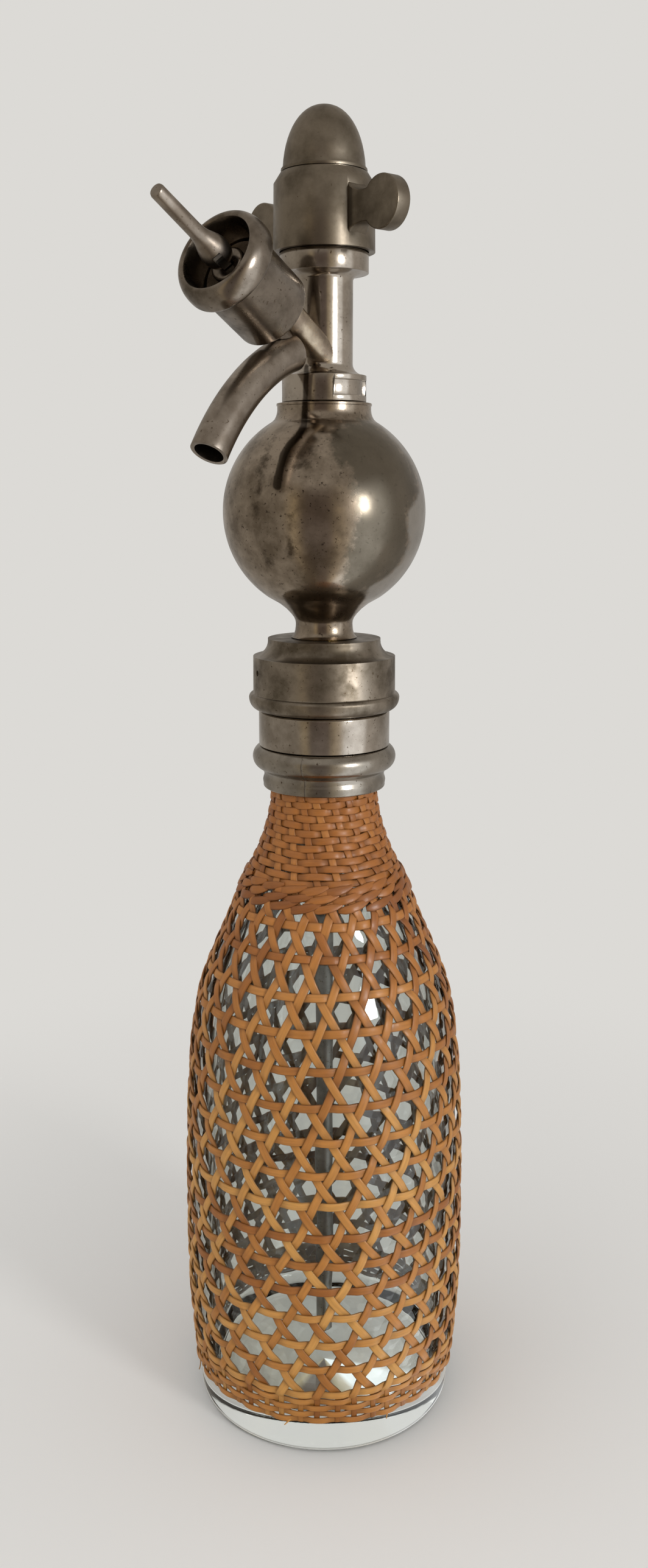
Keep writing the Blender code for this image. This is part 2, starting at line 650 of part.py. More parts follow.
def make_column(tap):
    """Column of the head: thread, spanner collar, slim shaft, flange and the well for the gas bulb."""
    thread_bottom = COLUMN_BOTTOM - COLUMN_THREAD_LENGTH
    collar_top = COLUMN_BOTTOM + COLLAR_HEIGHT
    cone_top = collar_top + COLLAR_CHAMFER
    shaft_top = COLUMN_BOTTOM + COLUMN_TOP
    flange_bottom = shaft_top + FLANGE_UNDERCUT
    chamber_top = COLUMN_BOTTOM + CHAMBER_HEIGHT
    mouth = SPIGOT_TOP - WELL_MOUTH_DEPTH
    outline = [(CHAMBER_RADIUS, thread_bottom), (COLUMN_THREAD_RADIUS, thread_bottom)]
    outline += [(COLUMN_THREAD_RADIUS, COLUMN_BOTTOM), (COLLAR_RADIUS, COLUMN_BOTTOM)]
    outline += [(COLLAR_RADIUS, collar_top)]
    spread = COLLAR_RADIUS - COLUMN_RADIUS
    for step in range(1, ARC_STEPS):
        angle = math.pi / 2 * step / ARC_STEPS
        outline.append((COLLAR_RADIUS - spread * math.sin(angle),
                        collar_top + COLLAR_CHAMFER * (1 - math.cos(angle))))
    outline += [(COLUMN_RADIUS, cone_top), (COLUMN_RADIUS, shaft_top)]
    reach = FLANGE_RADIUS - COLUMN_RADIUS
    for step in range(1, ARC_STEPS):
        angle = math.pi / 2 * step / ARC_STEPS
        outline.append((COLUMN_RADIUS + reach * (1 - math.cos(angle)),
                        shaft_top + FLANGE_UNDERCUT * math.sin(angle)))
    outline += [(FLANGE_RADIUS, flange_bottom), (FLANGE_RADIUS, FLANGE_HEIGHT)]
    outline += [(SPIGOT_RADIUS, FLANGE_HEIGHT), (SPIGOT_RADIUS, SPIGOT_TOP), (WELL_MOUTH_RADIUS, SPIGOT_TOP)]
    outline += [(WELL_RADIUS, mouth), (WELL_RADIUS, WELL_BOTTOM), (0, WELL_BOTTOM)]
    outline += [(0, chamber_top), (CHAMBER_RADIUS, chamber_top)]
    column = turned("head_column", outline, ROUND_STEPS, NICKEL)
    reach = COLUMN_RADIUS + BRANCH_RADIUS
    inlet = cylinder_cutter("inlet_cutter", BRANCH_BORE_RADIUS, 0, reach, branch_place(tap))
    boolean(column, inlet)
    gas_place = Matrix.Translation((0, WELL_RADIUS - GAS_PASSAGE_RADIUS, 0))
    gas = cylinder_cutter("gas_drilling_cutter", GAS_PASSAGE_RADIUS, thread_bottom - OVERRUN,
                          WELL_BOTTOM + OVERRUN, gas_place, steps=8)
    boolean(column, gas)
    middle = COLUMN_BOTTOM + SLOT_HEIGHT
    low = middle - SLOT_WIDTH / 2
    slot = tube(COLLAR_RADIUS - SLOT_DEPTH, COLLAR_RADIUS + OVERRUN, low, low + SLOT_WIDTH)
    for side, name in enumerate(("spanner_slot_cutter_right", "spanner_slot_cutter_left")):
        bm = bmesh.new()
        lathe(bm, slot, ARC_STEPS, start=SLOT_ANGLE - math.pi / 2 + math.pi * side, sweep=SLOT_SWEEP)
        boolean(column, cutter(bm, name))


def make_tubes():
    """Dip tube down the bottle, and the riser that carries on through the ball to the column."""
    low = DIP_TUBE_BOTTOM
    bm = bmesh.new()
    top = SEAT_BOTTOM - GAP
    lathe(bm, tube(TUBE_BORE_RADIUS, TUBE_RADIUS, low, top), SMALL_STEPS)
    for vert in bm.verts:
        if vert.co.z < low + TINY:
            vert.co.z += DIP_TUBE_SLANT * (vert.co.x + TUBE_RADIUS) / (2 * TUBE_RADIUS)
    finish_mesh(bm, "dip_tube", TIN)
    turned("riser_tube", tube(TUBE_BORE_RADIUS, TUBE_RADIUS, RISER_BOTTOM, RISER_TOP), SMALL_STEPS, TIN)


def make_piercer():
    """Plug in the well with the pin that opens the bulb, and the washer that the bulb seals on."""
    bore = PIN_RADIUS + GAP
    outline = tube(bore, WELL_RADIUS - GAP, PLUG_BOTTOM, PLUG_TOP)
    turned("piercer_plug", outline, SMALL_STEPS, BRASS)
    tip = PLUG_TOP + PIN_STICK_OUT
    pin = [(0, PLUG_BOTTOM), (PIN_RADIUS, PLUG_BOTTOM), (PIN_RADIUS, tip - PIN_POINT), (0, tip)]
    turned("piercing_pin", pin, TINY_STEPS, STEEL, closed=False)
    washer = tube(WASHER_HOLE_RADIUS, WASHER_RADIUS, WASHER_BOTTOM, WASHER_BOTTOM + WASHER_THICKNESS)
    turned("bulb_washer", washer, SMALL_STEPS, RUBBER)


def make_bulb():
    """Small pear-shaped steel gas bulb, its neck down and pierced."""
    top = BULB_BOTTOM + BULB_LENGTH
    neck_top = BULB_BOTTOM + BULB_NECK_LENGTH
    shoulder_top = neck_top + BULB_SHOULDER_LENGTH
    ball = top - BULB_RADIUS
    inner_ball = BULB_RADIUS - BULB_WALL
    inner_neck = BULB_NECK_RADIUS - BULB_WALL
    outline = [(BULB_HOLE_RADIUS, BULB_BOTTOM), (BULB_NECK_RADIUS, BULB_BOTTOM), (BULB_NECK_RADIUS, neck_top)]
    hollow = [(BULB_HOLE_RADIUS, BULB_BOTTOM + BULB_WALL), (inner_neck, BULB_BOTTOM + BULB_WALL)]
    hollow += [(inner_neck, neck_top + BULB_WALL)]
    for step in range(1, ARC_STEPS):
        swell = (1 - math.cos(math.pi * step / ARC_STEPS)) / 2
        height = neck_top + BULB_SHOULDER_LENGTH * step / ARC_STEPS
        outline.append((BULB_NECK_RADIUS + (BULB_RADIUS - BULB_NECK_RADIUS) * swell, height))
        hollow.append((inner_neck + (inner_ball - inner_neck) * swell, height + BULB_WALL))
    outline += [(BULB_RADIUS, shoulder_top)]
    outline += arc(0, ball, BULB_RADIUS, 0, math.pi / 2, 5)
    hollow += [(inner_ball, shoulder_top + BULB_WALL)]
    hollow += arc(0, ball, inner_ball, 0, math.pi / 2, 4)
    turned("gas_bulb", outline + hollow[::-1], SMALL_STEPS, STEEL)


def dome_outline(radius, height, bottom):
    """Acorn curve from the base up to the point on the axis, without the base point."""
    points = []
    for step in range(1, DOME_STEPS + 1):
        angle = math.pi / 2 * step / DOME_STEPS
        points.append((radius * math.cos(angle) ** (1 / DOME_FULLNESS), bottom + height * math.sin(angle)))
    points[-1] = (0, bottom + height)
    return points


def make_dome():
    """Acorn dome over the bulb, its flange held under the top of the nut."""
    inner = DOME_RADIUS - DOME_WALL
    flange_bottom = DOME_FLANGE_TOP - DOME_FLANGE_THICKNESS
    flange_radius = NUT_THREAD_RADIUS - GAP
    outline = [(inner, flange_bottom), (flange_radius, flange_bottom), (flange_radius, DOME_FLANGE_TOP)]
    outline += [(DOME_RADIUS, DOME_FLANGE_TOP), (DOME_RADIUS, NUT_TOP)]
    outline += dome_outline(DOME_RADIUS, DOME_HEIGHT, NUT_TOP)
    outline += dome_outline(inner, DOME_HEIGHT - DOME_WALL, NUT_TOP)[::-1]
    outline += [(inner, NUT_TOP)]
    turned("bulb_dome", outline, ROUND_STEPS, DULL)


def wing_outline():
    """Outline of one wing from the nut outward, as (reach, height) points."""
    neck = WING_NECK_HEIGHT / 2
    root = WING_ROOT_HEIGHT / 2
    lobe_start = math.pi - math.asin(neck / WING_LOBE_RADIUS)
    start = NUT_THREAD_RADIUS + (NUT_BOTTOM_RADIUS - NUT_THREAD_RADIUS) / 2
    fillet_end = NUT_BOTTOM_RADIUS + (root - neck)
    points = [(start, -root), (NUT_BOTTOM_RADIUS, -root), (fillet_end, -neck)]
    steps = 14
    for step in range(steps + 1):
        angle = -lobe_start + 2 * lobe_start * step / steps
        reach = WING_LOBE_CENTRE + WING_LOBE_RADIUS * math.cos(angle)
        points.append((reach, WING_LOBE_RADIUS * math.sin(angle)))
    return points + [(fillet_end, neck), (NUT_BOTTOM_RADIUS, root), (start, root)]


def make_winged_nut():
    """Nut that holds the dome down, with two round-ended wings to turn it by."""
    shoulder = NUT_BOTTOM + NUT_SHOULDER_HEIGHT
    bore = DOME_RADIUS + GAP
    outline = [(NUT_THREAD_RADIUS, NUT_BOTTOM), (NUT_BOTTOM_RADIUS, NUT_BOTTOM), (NUT_TOP_RADIUS, shoulder)]
    drop = NUT_TOP - shoulder
    width = NUT_TOP_RADIUS - bore
    for step in range(1, ARC_STEPS):
        angle = math.pi / 2 * step / ARC_STEPS
        outline.append((bore + width * math.cos(angle), shoulder + drop * math.sin(angle)))
    outline += [(bore, NUT_TOP), (bore, NUT_SHELF), (NUT_THREAD_RADIUS, NUT_SHELF)]
    nut = turned("winged_nut", outline, ROUND_STEPS, DULL)
    for side, name in enumerate(("wing_shape_right", "wing_shape_left")):
        bm = bmesh.new()
        turn = Matrix.Translation((0, 0, NUT_BOTTOM + WING_HEIGHT))
        turn = turn @ Matrix.Rotation(WING_ANGLE + math.pi * side, 4, 'Z')
        corners = [bm.verts.new((reach, -WING_THICKNESS / 2, height)) for reach, height in wing_outline()]
        face = bm.faces.new(corners)
        grown = bmesh.ops.extrude_face_region(bm, geom=[face])["geom"]
        moved = [item for item in grown if isinstance(item, bmesh.types.BMVert)]
        bmesh.ops.translate(bm, verts=moved, vec=(0, WING_THICKNESS, 0))
        bmesh.ops.transform(bm, matrix=turn, verts=bm.verts)
        wing = cutter(bm, name)
        soft = wing.modifiers.new("rounded edge", 'BEVEL')
        soft.width = WING_EDGE_ROUND
        soft.segments = 1
        soft.limit_method = 'ANGLE'
        soft.angle_limit = math.radians(50)
        boolean(nut, wing, 'UNION')


def make_housing(tap):
    """Valve housing: a cup with a rolled rim, its floor drilled for the liquid's way in and out."""
    outline = [(0, HOUSING_BOTTOM), (HOUSING_RADIUS - HOUSING_EDGE_ROUND, HOUSING_BOTTOM)]
    outline += [(HOUSING_RADIUS, HOUSING_BOTTOM + HOUSING_EDGE_ROUND), (HOUSING_RADIUS, HOUSING_NECK)]
    outline += [(RIM_BACK_RADIUS, HOUSING_NECK + RIM_BACK_HEIGHT)]
    rim_top = MOUTH_HEIGHT - HOUSING_NECK - RIM_WIDEST_HEIGHT
    crown = MOUTH_RADIUS + HOUSING_EDGE_ROUND
    for step in range(6):
        angle = math.pi / 2 * step / 5
        outline.append((crown + (RIM_RADIUS - crown) * math.cos(angle),
                        HOUSING_NECK + RIM_WIDEST_HEIGHT + rim_top * math.sin(angle)))
    outline += [(MOUTH_RADIUS, MOUTH_HEIGHT - HOUSING_EDGE_ROUND)]
    outline += [(MOUTH_RADIUS, HOUSING_NECK + RIM_BACK_HEIGHT)]
    outline += [(VALVE_BORE_RADIUS, HOUSING_NECK), (VALVE_BORE_RADIUS, VALVE_FLOOR)]
    outline += [(SEAT_RADIUS, VALVE_FLOOR), (SEAT_RADIUS, VALVE_FLOOR + SEAT_HEIGHT)]
    outline += [(0, VALVE_FLOOR + SEAT_HEIGHT)]
    housing = turned("valve_housing", outline, ROUND_STEPS, TARNISHED, tap, closed=False)
    inlet = Matrix.Translation((0, INLET_OFFSET, 0))
    boolean(housing, cylinder_cutter("housing_inlet_cutter", INLET_RADIUS, HOUSING_BOTTOM - OVERRUN,
                                     VALVE_FLOOR + OVERRUN, inlet, tap))
    fall = HOUSING_FLOOR + SEAT_HEIGHT
    lean = math.atan2(OUTLET_OFFSET, fall)
    outlet = Matrix.Translation((0, 0, VALVE_FLOOR + SEAT_HEIGHT)) @ Matrix.Rotation(-lean, 4, 'X')
    length = fall / math.cos(lean)
    boolean(housing, cylinder_cutter("housing_outlet_cutter", OUTLET_RADIUS, -length - OVERRUN, OVERRUN,
                                     outlet, tap))


def make_branch(tap):
    """Slanted tube from the column's foot to the housing's floor."""
    place = branch_place(tap)
    local = tap.matrix_basis.inverted() @ place
    start = local.to_translation()
    lean = local.to_3x3() @ Vector((0, 0, 1))
    length = (HOUSING_BOTTOM - GAP - start.z) / lean.z + OVERRUN
    bm = bmesh.new()
    lathe(bm, tube(BRANCH_BORE_RADIUS, BRANCH_RADIUS, BRANCH_START, length), SMALL_STEPS)
    bmesh.ops.transform(bm, matrix=place, verts=bm.verts)
    branch = finish_mesh(bm, "tap_branch", TARNISHED)
    boolean(branch, cylinder_cutter("column_space_cutter", COLUMN_RADIUS + GAP, COLUMN_BOTTOM, SPIGOT_TOP,
                                    steps=ROUND_STEPS))
    face = cylinder_cutter("housing_face_cutter", HOUSING_RADIUS + OVERRUN, HOUSING_BOTTOM - GAP,
                           HOUSING_BOTTOM + HOUSING_FLOOR, frame=tap, steps=SMALL_STEPS)
    boolean(branch, face)
    return cylinder_cutter("branch_space_cutter", BRANCH_RADIUS + GAP, BRANCH_START, length, place,
                           steps=SMALL_STEPS)


def sweep(bm, points, radius, sides, upright, first=None, last=None):
    """Adds a round bar along the points, its ends cut square to the directions first and last."""
    rings = []
    for index, point in enumerate(points):
        ahead = points[min(index + 1, len(points) - 1)] - points[max(index - 1, 0)]
        if index == 0 and first is not None:
            ahead = first
        if index == len(points) - 1 and last is not None:
            ahead = last
        side = ahead.cross(upright).normalized()
        lift = side.cross(ahead).normalized()
        ring = []
        for corner in range(sides):
            angle = 2 * math.pi * corner / sides
            ring.append(bm.verts.new(point + radius * (math.cos(angle) * side + math.sin(angle) * lift)))
        rings.append(ring)
    for low, high in zip(rings, rings[1:]):
        for corner in range(sides):
            after = (corner + 1) % sides
            bm.faces.new((low[corner], low[after], high[after], high[corner]))
    bm.faces.new(rings[0])
    bm.faces.new(rings[-1])


def spout_points(extra_start=0.0, extra_end=0.0):
    """Middle line of the spout as world points, from the root to the open end."""
    root = Vector((0, -SPOUT_ROOT_REACH, SPOUT_ROOT_HEIGHT))
    end = Vector((0, -SPOUT_END_REACH, SPOUT_END_HEIGHT))
    span = (end - root).length
    out = Vector((0, -math.cos(SPOUT_ROOT_FALL), math.sin(SPOUT_ROOT_FALL)))
    down = Vector((0, -math.cos(SPOUT_END_FALL), math.sin(SPOUT_END_FALL)))
    points = []
    for step in range(SPOUT_STEPS + 1):
        t = step / SPOUT_STEPS
        points.append((2 * t**3 - 3 * t**2 + 1) * root + (t**3 - 2 * t**2 + t) * span * out
                      + (3 * t**2 - 2 * t**3) * end + (t**3 - t**2) * span * down)
    points[0] -= out * extra_start
    points[-1] += down * extra_end
    return points


def spout_bar(points, radius):
    """A round bar along the spout's middle line."""
    bm = bmesh.new()
    first = Vector((0, -math.cos(SPOUT_ROOT_FALL), math.sin(SPOUT_ROOT_FALL)))
    last = Vector((0, -math.cos(SPOUT_END_FALL), math.sin(SPOUT_END_FALL)))
    sweep(bm, points, radius, SPOUT_SIDES, Vector((0, 0, 1)), first, last)
    return bm


def make_spout(tap, branch_space):
    """Curved spout under the tap, and the nipple that feeds it from the housing."""
    spout = finish_mesh(spout_bar(spout_points(), SPOUT_RADIUS), "spout", NICKEL)
    bore = spout_bar(spout_points(-SPOUT_BORE_START, OVERRUN), SPOUT_BORE_RADIUS)
    boolean(spout, cutter(bore, "spout_bore_cutter"))
    boolean(spout, branch_space)
    drop = Matrix.Translation((0, -NIPPLE_DROP, 0))
    bottom = HOUSING_BOTTOM - NIPPLE_LENGTH
    feed = cylinder_cutter("spout_feed_cutter", NIPPLE_BORE_RADIUS, bottom, HOUSING_BOTTOM, drop, tap)
    boolean(spout, feed)
    bm = bmesh.new()
    lathe(bm, tube(NIPPLE_BORE_RADIUS, NIPPLE_RADIUS, bottom, HOUSING_BOTTOM - GAP), SMALL_STEPS)
    bmesh.ops.transform(bm, matrix=drop, verts=bm.verts)
    nipple = finish_mesh(bm, "outlet_nipple", TARNISHED, tap)
    space = spout_bar(spout_points(OVERRUN), SPOUT_RADIUS + GAP)
    boolean(nipple, cutter(space, "spout_space_cutter"))
    boolean(nipple, branch_space)


def make_valve(tap):
    """Rubber disc and plunger on the seat, their spring, and the gland that the stem slides through."""
    disc_top = DISC_BOTTOM + DISC_THICKNESS
    turned("valve_disc", rod(PLUNGER_RADIUS, DISC_BOTTOM, disc_top), SMALL_STEPS, RUBBER, tap, closed=False)
    socket = STEM_RADIUS + GAP
    shoulder = PLUNGER_BOTTOM + PLUNGER_SHOULDER
    outline = [(0, PLUNGER_BOTTOM), (PLUNGER_RADIUS, PLUNGER_BOTTOM), (PLUNGER_RADIUS, shoulder)]
    outline += [(PLUNGER_NECK_RADIUS, shoulder), (PLUNGER_NECK_RADIUS, PLUNGER_TOP), (socket, PLUNGER_TOP)]
    outline += [(socket, PLUNGER_TOP - STEM_SOCKET), (0, PLUNGER_TOP - STEM_SOCKET)]
    turned("valve_plunger", outline, SMALL_STEPS, BRASS, tap, closed=False)
    hole = STEM_RADIUS + GAP
    gland_top = GLAND_BOTTOM + GLAND_THICKNESS
    gland = [(hole, GLAND_BOTTOM), (VALVE_BORE_RADIUS - GAP, GLAND_BOTTOM)]
    gland += [(VALVE_BORE_RADIUS - GAP, HOUSING_NECK), (VALVE_BORE_RADIUS - GAP, gland_top)]
    gland += [(GLAND_BOSS_RADIUS, gland_top), (GLAND_BOSS_RADIUS, GLAND_BOSS_TOP), (hole, GLAND_BOSS_TOP)]
    turned("gland_nut", gland, SMALL_STEPS, TARNISHED, tap)
    packing = tube(hole, VALVE_BORE_RADIUS - GAP, PACKING_BOTTOM, PACKING_BOTTOM + PACKING_THICKNESS)
    turned("gland_packing", packing, SMALL_STEPS, LEATHER, tap)
    low = shoulder + SPRING_WIRE_RADIUS + GAP
    high = PACKING_BOTTOM - SPRING_WIRE_RADIUS - GAP
    count = int(SPRING_TURNS * SPRING_POINTS) + 1
    points = []
    for index in range(count):
        turn = 2 * math.pi * index / SPRING_POINTS
        height = low + (high - low) * index / (count - 1)
        across = SPRING_COIL_RADIUS * math.cos(turn)
        along = SPRING_COIL_RADIUS * math.sin(turn)
        points.append(Vector((across, along, height)))
    bm = bmesh.new()
    sweep(bm, points, SPRING_WIRE_RADIUS, SPRING_SIDES, Vector((0, 0, 1)))
    finish_mesh(bm, "valve_spring", STEEL, tap)


def plate(bm, outline, bottom, top):
    """A flat plate with its outline as (Y, Z) points, from X bottom to X top."""
    corners = [bm.verts.new((bottom, y, z)) for y, z in outline]
    face = bm.faces.new(corners)
    grown = bmesh.ops.extrude_face_region(bm, geom=[face])["geom"]
    moved = [item for item in grown if isinstance(item, bmesh.types.BMVert)]
    bmesh.ops.translate(bm, verts=moved, vec=(top - bottom, 0, 0))


def make_stem(pivot):
    """Stem of the valve: a round rod that ends in a flat tongue for the lever's pin."""
    bottom = PLUNGER_TOP - STEM_SOCKET + GAP - PIVOT_HEIGHT
    neck = GLAND_BOSS_TOP + GAP - PIVOT_HEIGHT
    stem = turned("valve_stem", rod(STEM_RADIUS, bottom, neck + STEM_RADIUS / 2), TINY_STEPS, STEEL, pivot,
                  closed=False)
    bm = bmesh.new()
    outline = [(-TONGUE_RADIUS, neck), (TONGUE_RADIUS, neck)]
    outline += arc(0, 0, TONGUE_RADIUS, 0, math.pi, 8)
    plate(bm, outline, -TONGUE_THICKNESS / 2, TONGUE_THICKNESS / 2)
    tongue = cutter(bm, "tongue_shape", pivot)
    boolean(stem, tongue, 'UNION')
    cross = Matrix.Rotation(math.pi / 2, 4, 'Y')
    hole = cylinder_cutter("tongue_hole_cutter", PIN_SHAFT_RADIUS + GAP, -TONGUE_THICKNESS, TONGUE_THICKNESS,
                           cross, pivot)
    boolean(stem, hole)


def make_lever(pivot):
    """Straight lever rod with a forked foot: its two cam cheeks straddle the stem's tongue."""
    inner = TONGUE_THICKNESS / 2 + GAP
    outer = inner + CHEEK_THICKNESS
    top = ROD_LENGTH
    rod_outline = [(0, FORK_ROOT + GAP), (ROD_RADIUS, FORK_ROOT + GAP), (ROD_RADIUS, top - ROD_END_CHAMFER)]
    rod_outline += [(ROD_RADIUS - ROD_END_CHAMFER, top), (0, top)]
    lever = turned("lever", rod_outline, SMALL_STEPS, TARNISHED, pivot, closed=False)
    side = FORK_HALF_WIDTH
    outline = arc(0, 0, CHEEK_RADIUS, math.pi, math.pi * 3 / 2, 3)[:-1]
    outline += arc(CAM_OFFSET, 0, CAM_RADIUS, -math.pi / 2, math.pi / 6, 5)
    corner = ROD_RADIUS / 2
    outline += [(side, FORK_ROOT + corner), (side, FORK_HEIGHT - corner), (corner, FORK_HEIGHT)]
    outline += [(-corner, FORK_HEIGHT), (-side, FORK_HEIGHT - corner)]
    outline = [(-y, z) for y, z in outline]
    bm = bmesh.new()
    plate(bm, outline, -outer, outer)
    fork = cutter(bm, "fork_shape", pivot)
    boolean(lever, fork, 'UNION')
    slot = bmesh.new()
    reach = CAM_OFFSET + CAM_RADIUS + OVERRUN
    plate(slot, [(-reach, -reach), (reach, -reach), (reach, FORK_ROOT), (-reach, FORK_ROOT)], -inner, inner)
    boolean(lever, cutter(slot, "fork_slot_cutter", pivot))
    cross = Matrix.Rotation(math.pi / 2, 4, 'Y')
    hole = cylinder_cutter("fork_hole_cutter", PIN_SHAFT_RADIUS + GAP, -outer - OVERRUN, outer + OVERRUN,
                           cross, pivot)
    boolean(lever, hole)
    bm = bmesh.new()
    lathe(bm, rod(PIN_SHAFT_RADIUS, -outer, outer), TINY_STEPS, closed=False)
    bmesh.ops.transform(bm, matrix=cross, verts=bm.verts)
    finish_mesh(bm, "lever_pin", STEEL, pivot)


tap_axis = empty("tap_axis", (0, 0, TAP_HEIGHT), (math.pi / 2 - TAP_ELEVATION, 0, 0))
bpy.context.view_layer.update()
lever_pivot = empty("lever_pivot", (0, 0, PIVOT_HEIGHT), (0, 0, LEVER_ROLL), tap_axis)

make_bottle()
make_cover()
make_neck_collar()
make_neck_ring()
make_head_seat()
make_coupling_cap()
make_ball()
make_column(tap_axis)
make_tubes()
make_piercer()
make_bulb()
make_dome()
make_winged_nut()
make_housing(tap_axis)
make_spout(tap_axis, make_branch(tap_axis))
make_valve(tap_axis)
make_stem(lever_pivot)
make_lever(lever_pivot)
bpy.context.view_layer.update()
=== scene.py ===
"""Soda siphon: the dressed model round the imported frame, with its light, floor and camera.

Lengths are millimetres here and turn to metres where a mesh is made. Azimuths are degrees from the tap's side.
"""
import random
from math import asin, atan2, cos, degrees, pi, radians, sin, tanh

import bmesh
import bpy
from mathutils import Matrix, Vector, noise


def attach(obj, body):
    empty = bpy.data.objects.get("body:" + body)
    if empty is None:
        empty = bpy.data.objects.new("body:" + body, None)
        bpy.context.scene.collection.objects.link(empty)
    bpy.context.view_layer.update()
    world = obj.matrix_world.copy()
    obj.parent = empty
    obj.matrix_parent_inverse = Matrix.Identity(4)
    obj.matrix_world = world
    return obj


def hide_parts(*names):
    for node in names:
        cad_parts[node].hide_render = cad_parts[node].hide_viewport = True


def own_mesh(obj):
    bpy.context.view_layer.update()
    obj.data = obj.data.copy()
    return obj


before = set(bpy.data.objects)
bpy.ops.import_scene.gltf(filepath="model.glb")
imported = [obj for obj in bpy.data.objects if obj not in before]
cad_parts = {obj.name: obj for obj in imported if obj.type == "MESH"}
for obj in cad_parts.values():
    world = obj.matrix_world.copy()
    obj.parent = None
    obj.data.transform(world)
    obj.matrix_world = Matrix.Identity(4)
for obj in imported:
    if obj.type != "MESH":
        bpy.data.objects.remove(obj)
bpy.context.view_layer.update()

MM = 0.001
# Sides of the large round pieces and of the small ones
FINE = 128
SMALL = 48
UP = Vector((0, 0, 1))

# Heights on the bottle's axis
CAP_BOTTOM = 240.9
BALL_CENTRE = 303.3
BALL_TOP = 335.9
COLUMN_BOTTOM = 336.2
FLANGE_TOP = 378.9
NUT_BOTTOM = 379.4
NUT_TOP = 401.3

# The tap's own axis, from the column outward, and the lever's pivot on it
TAP_HEIGHT, TAP_RISE = 347.4, 27.4
PIVOT_REACH, PIVOT_TURN = 54.7, 42
TAP = Matrix.Translation((0, 0, TAP_HEIGHT * MM)) @ Matrix.Rotation(radians(90 - TAP_RISE), 4, 'X')
PIVOT = TAP @ Matrix.Translation((0, 0, PIVOT_REACH * MM)) @ Matrix.Rotation(radians(PIVOT_TURN), 4, 'Z')

# The camera: its bearing and its tilt downward in degrees, its place in metres and its level distance from the axis
CAMERA_SIDE, CAMERA_TILT = 36, 12.74
CAMERA_PLACE = (0.2503, -0.3446, 0.3127)
CAMERA_REACH = 0.4259


# ---- modelling ----

def deselect():
    """Leaves nothing selected, so that the next operator acts on the new piece alone."""
    bpy.ops.object.select_all(action='DESELECT')


def pick(piece):
    """Makes one piece the selected and active one."""
    deselect()
    piece.select_set(True)
    bpy.context.view_layer.objects.active = piece


def edit(piece, chosen=None):
    """Opens the piece for editing with all of it selected, or only the chosen vertices."""
    pick(piece)
    mesh = piece.data
    for group in (mesh.vertices, mesh.edges, mesh.polygons):
        group.foreach_set("select", [False] * len(group))
    if chosen is not None:
        for vertex in mesh.vertices:
            vertex.select = chosen(vertex)
    bpy.ops.object.mode_set(mode='EDIT')
    bpy.ops.mesh.select_mode(type='VERT')
    if chosen is None:
        bpy.ops.mesh.select_all(action='SELECT')


def close(piece):
    """Merges what lies together, turns the faces outward and settles the piece at the origin."""
    bpy.ops.mesh.select_all(action='SELECT')
    bpy.ops.mesh.remove_doubles(threshold=0.000001)
    bpy.ops.mesh.normals_make_consistent(inside=False)
    bpy.ops.object.mode_set(mode='OBJECT')
    settle(piece)


def settle(piece):
    """Puts the piece's place into its mesh."""
    pick(piece)
    bpy.ops.object.transform_apply(location=True, rotation=True, scale=True)


def put(piece, place):
    """Moves a finished piece by a matrix."""
    piece.matrix_world = place
    settle(piece)


def change(piece, kind, **settings):
    """Adds a modifier and applies it."""
    pick(piece)
    modifier = piece.modifiers.new(kind.lower(), kind)
    for key, value in settings.items():
        setattr(modifier, key, value)
    bpy.ops.object.modifier_apply(modifier=modifier.name)


def soften(piece, width, segments=2, angle=30):
    """Rounds the piece's sharp edges."""
    change(piece, 'BEVEL', width=width * MM, segments=segments, limit_method='ANGLE',
           angle_limit=radians(angle), harden_normals=False)


def smooth(piece, angle=40):
    """Shades the piece round, up to the given angle between faces."""
    pick(piece)
    bpy.ops.object.shade_smooth_by_angle(angle=radians(angle))


def cut(piece, tool, operation='DIFFERENCE'):
    """Cuts one piece out of another, or joins it on, and removes the tool."""
    change(piece, 'BOOLEAN', operation=operation, solver='EXACT', object=tool)
    bpy.data.objects.remove(tool, do_unlink=True)


def called(name):
    """Names the piece that was just added."""
    piece = bpy.context.object
    piece.name = name
    piece.data.name = name
    return piece


def turned(name, outline, steps=FINE, ring=False, edge=0.0, place=None):
    """A round piece on the Z axis, drawn out of one circle along an outline of (radius, height) points."""
    deselect()
    points = [(radius * MM, height * MM) for radius, height in outline]
    axis_start = points[0][0] == 0
    rings = points[1:] if axis_start else points
    radius, height = rings[0]
    bpy.ops.mesh.primitive_circle_add(vertices=steps, radius=radius, location=(0, 0, height))
    piece = called(name)
    edit(piece)
    for (near, low), (far, high) in zip(rings, rings[1:] + (rings[:1] if ring else [])):
        bpy.ops.mesh.extrude_region_move(TRANSFORM_OT_translate={"value": (0, 0, high - low)})
        bpy.ops.transform.resize(value=(far / near, far / near, 1), center_override=(0, 0, high))
    if axis_start:
        bpy.ops.object.mode_set(mode='OBJECT')
        edit(piece, lambda vertex: vertex.index < steps)
        bpy.ops.mesh.extrude_region_move(TRANSFORM_OT_translate={"value": (0, 0, points[0][1] - height)})
        bpy.ops.transform.resize(value=(0, 0, 1), center_override=(0, 0, points[0][1]))
    close(piece)
    if edge:
        soften(piece, edge)
    if place is not None:
        put(piece, place)
    return piece


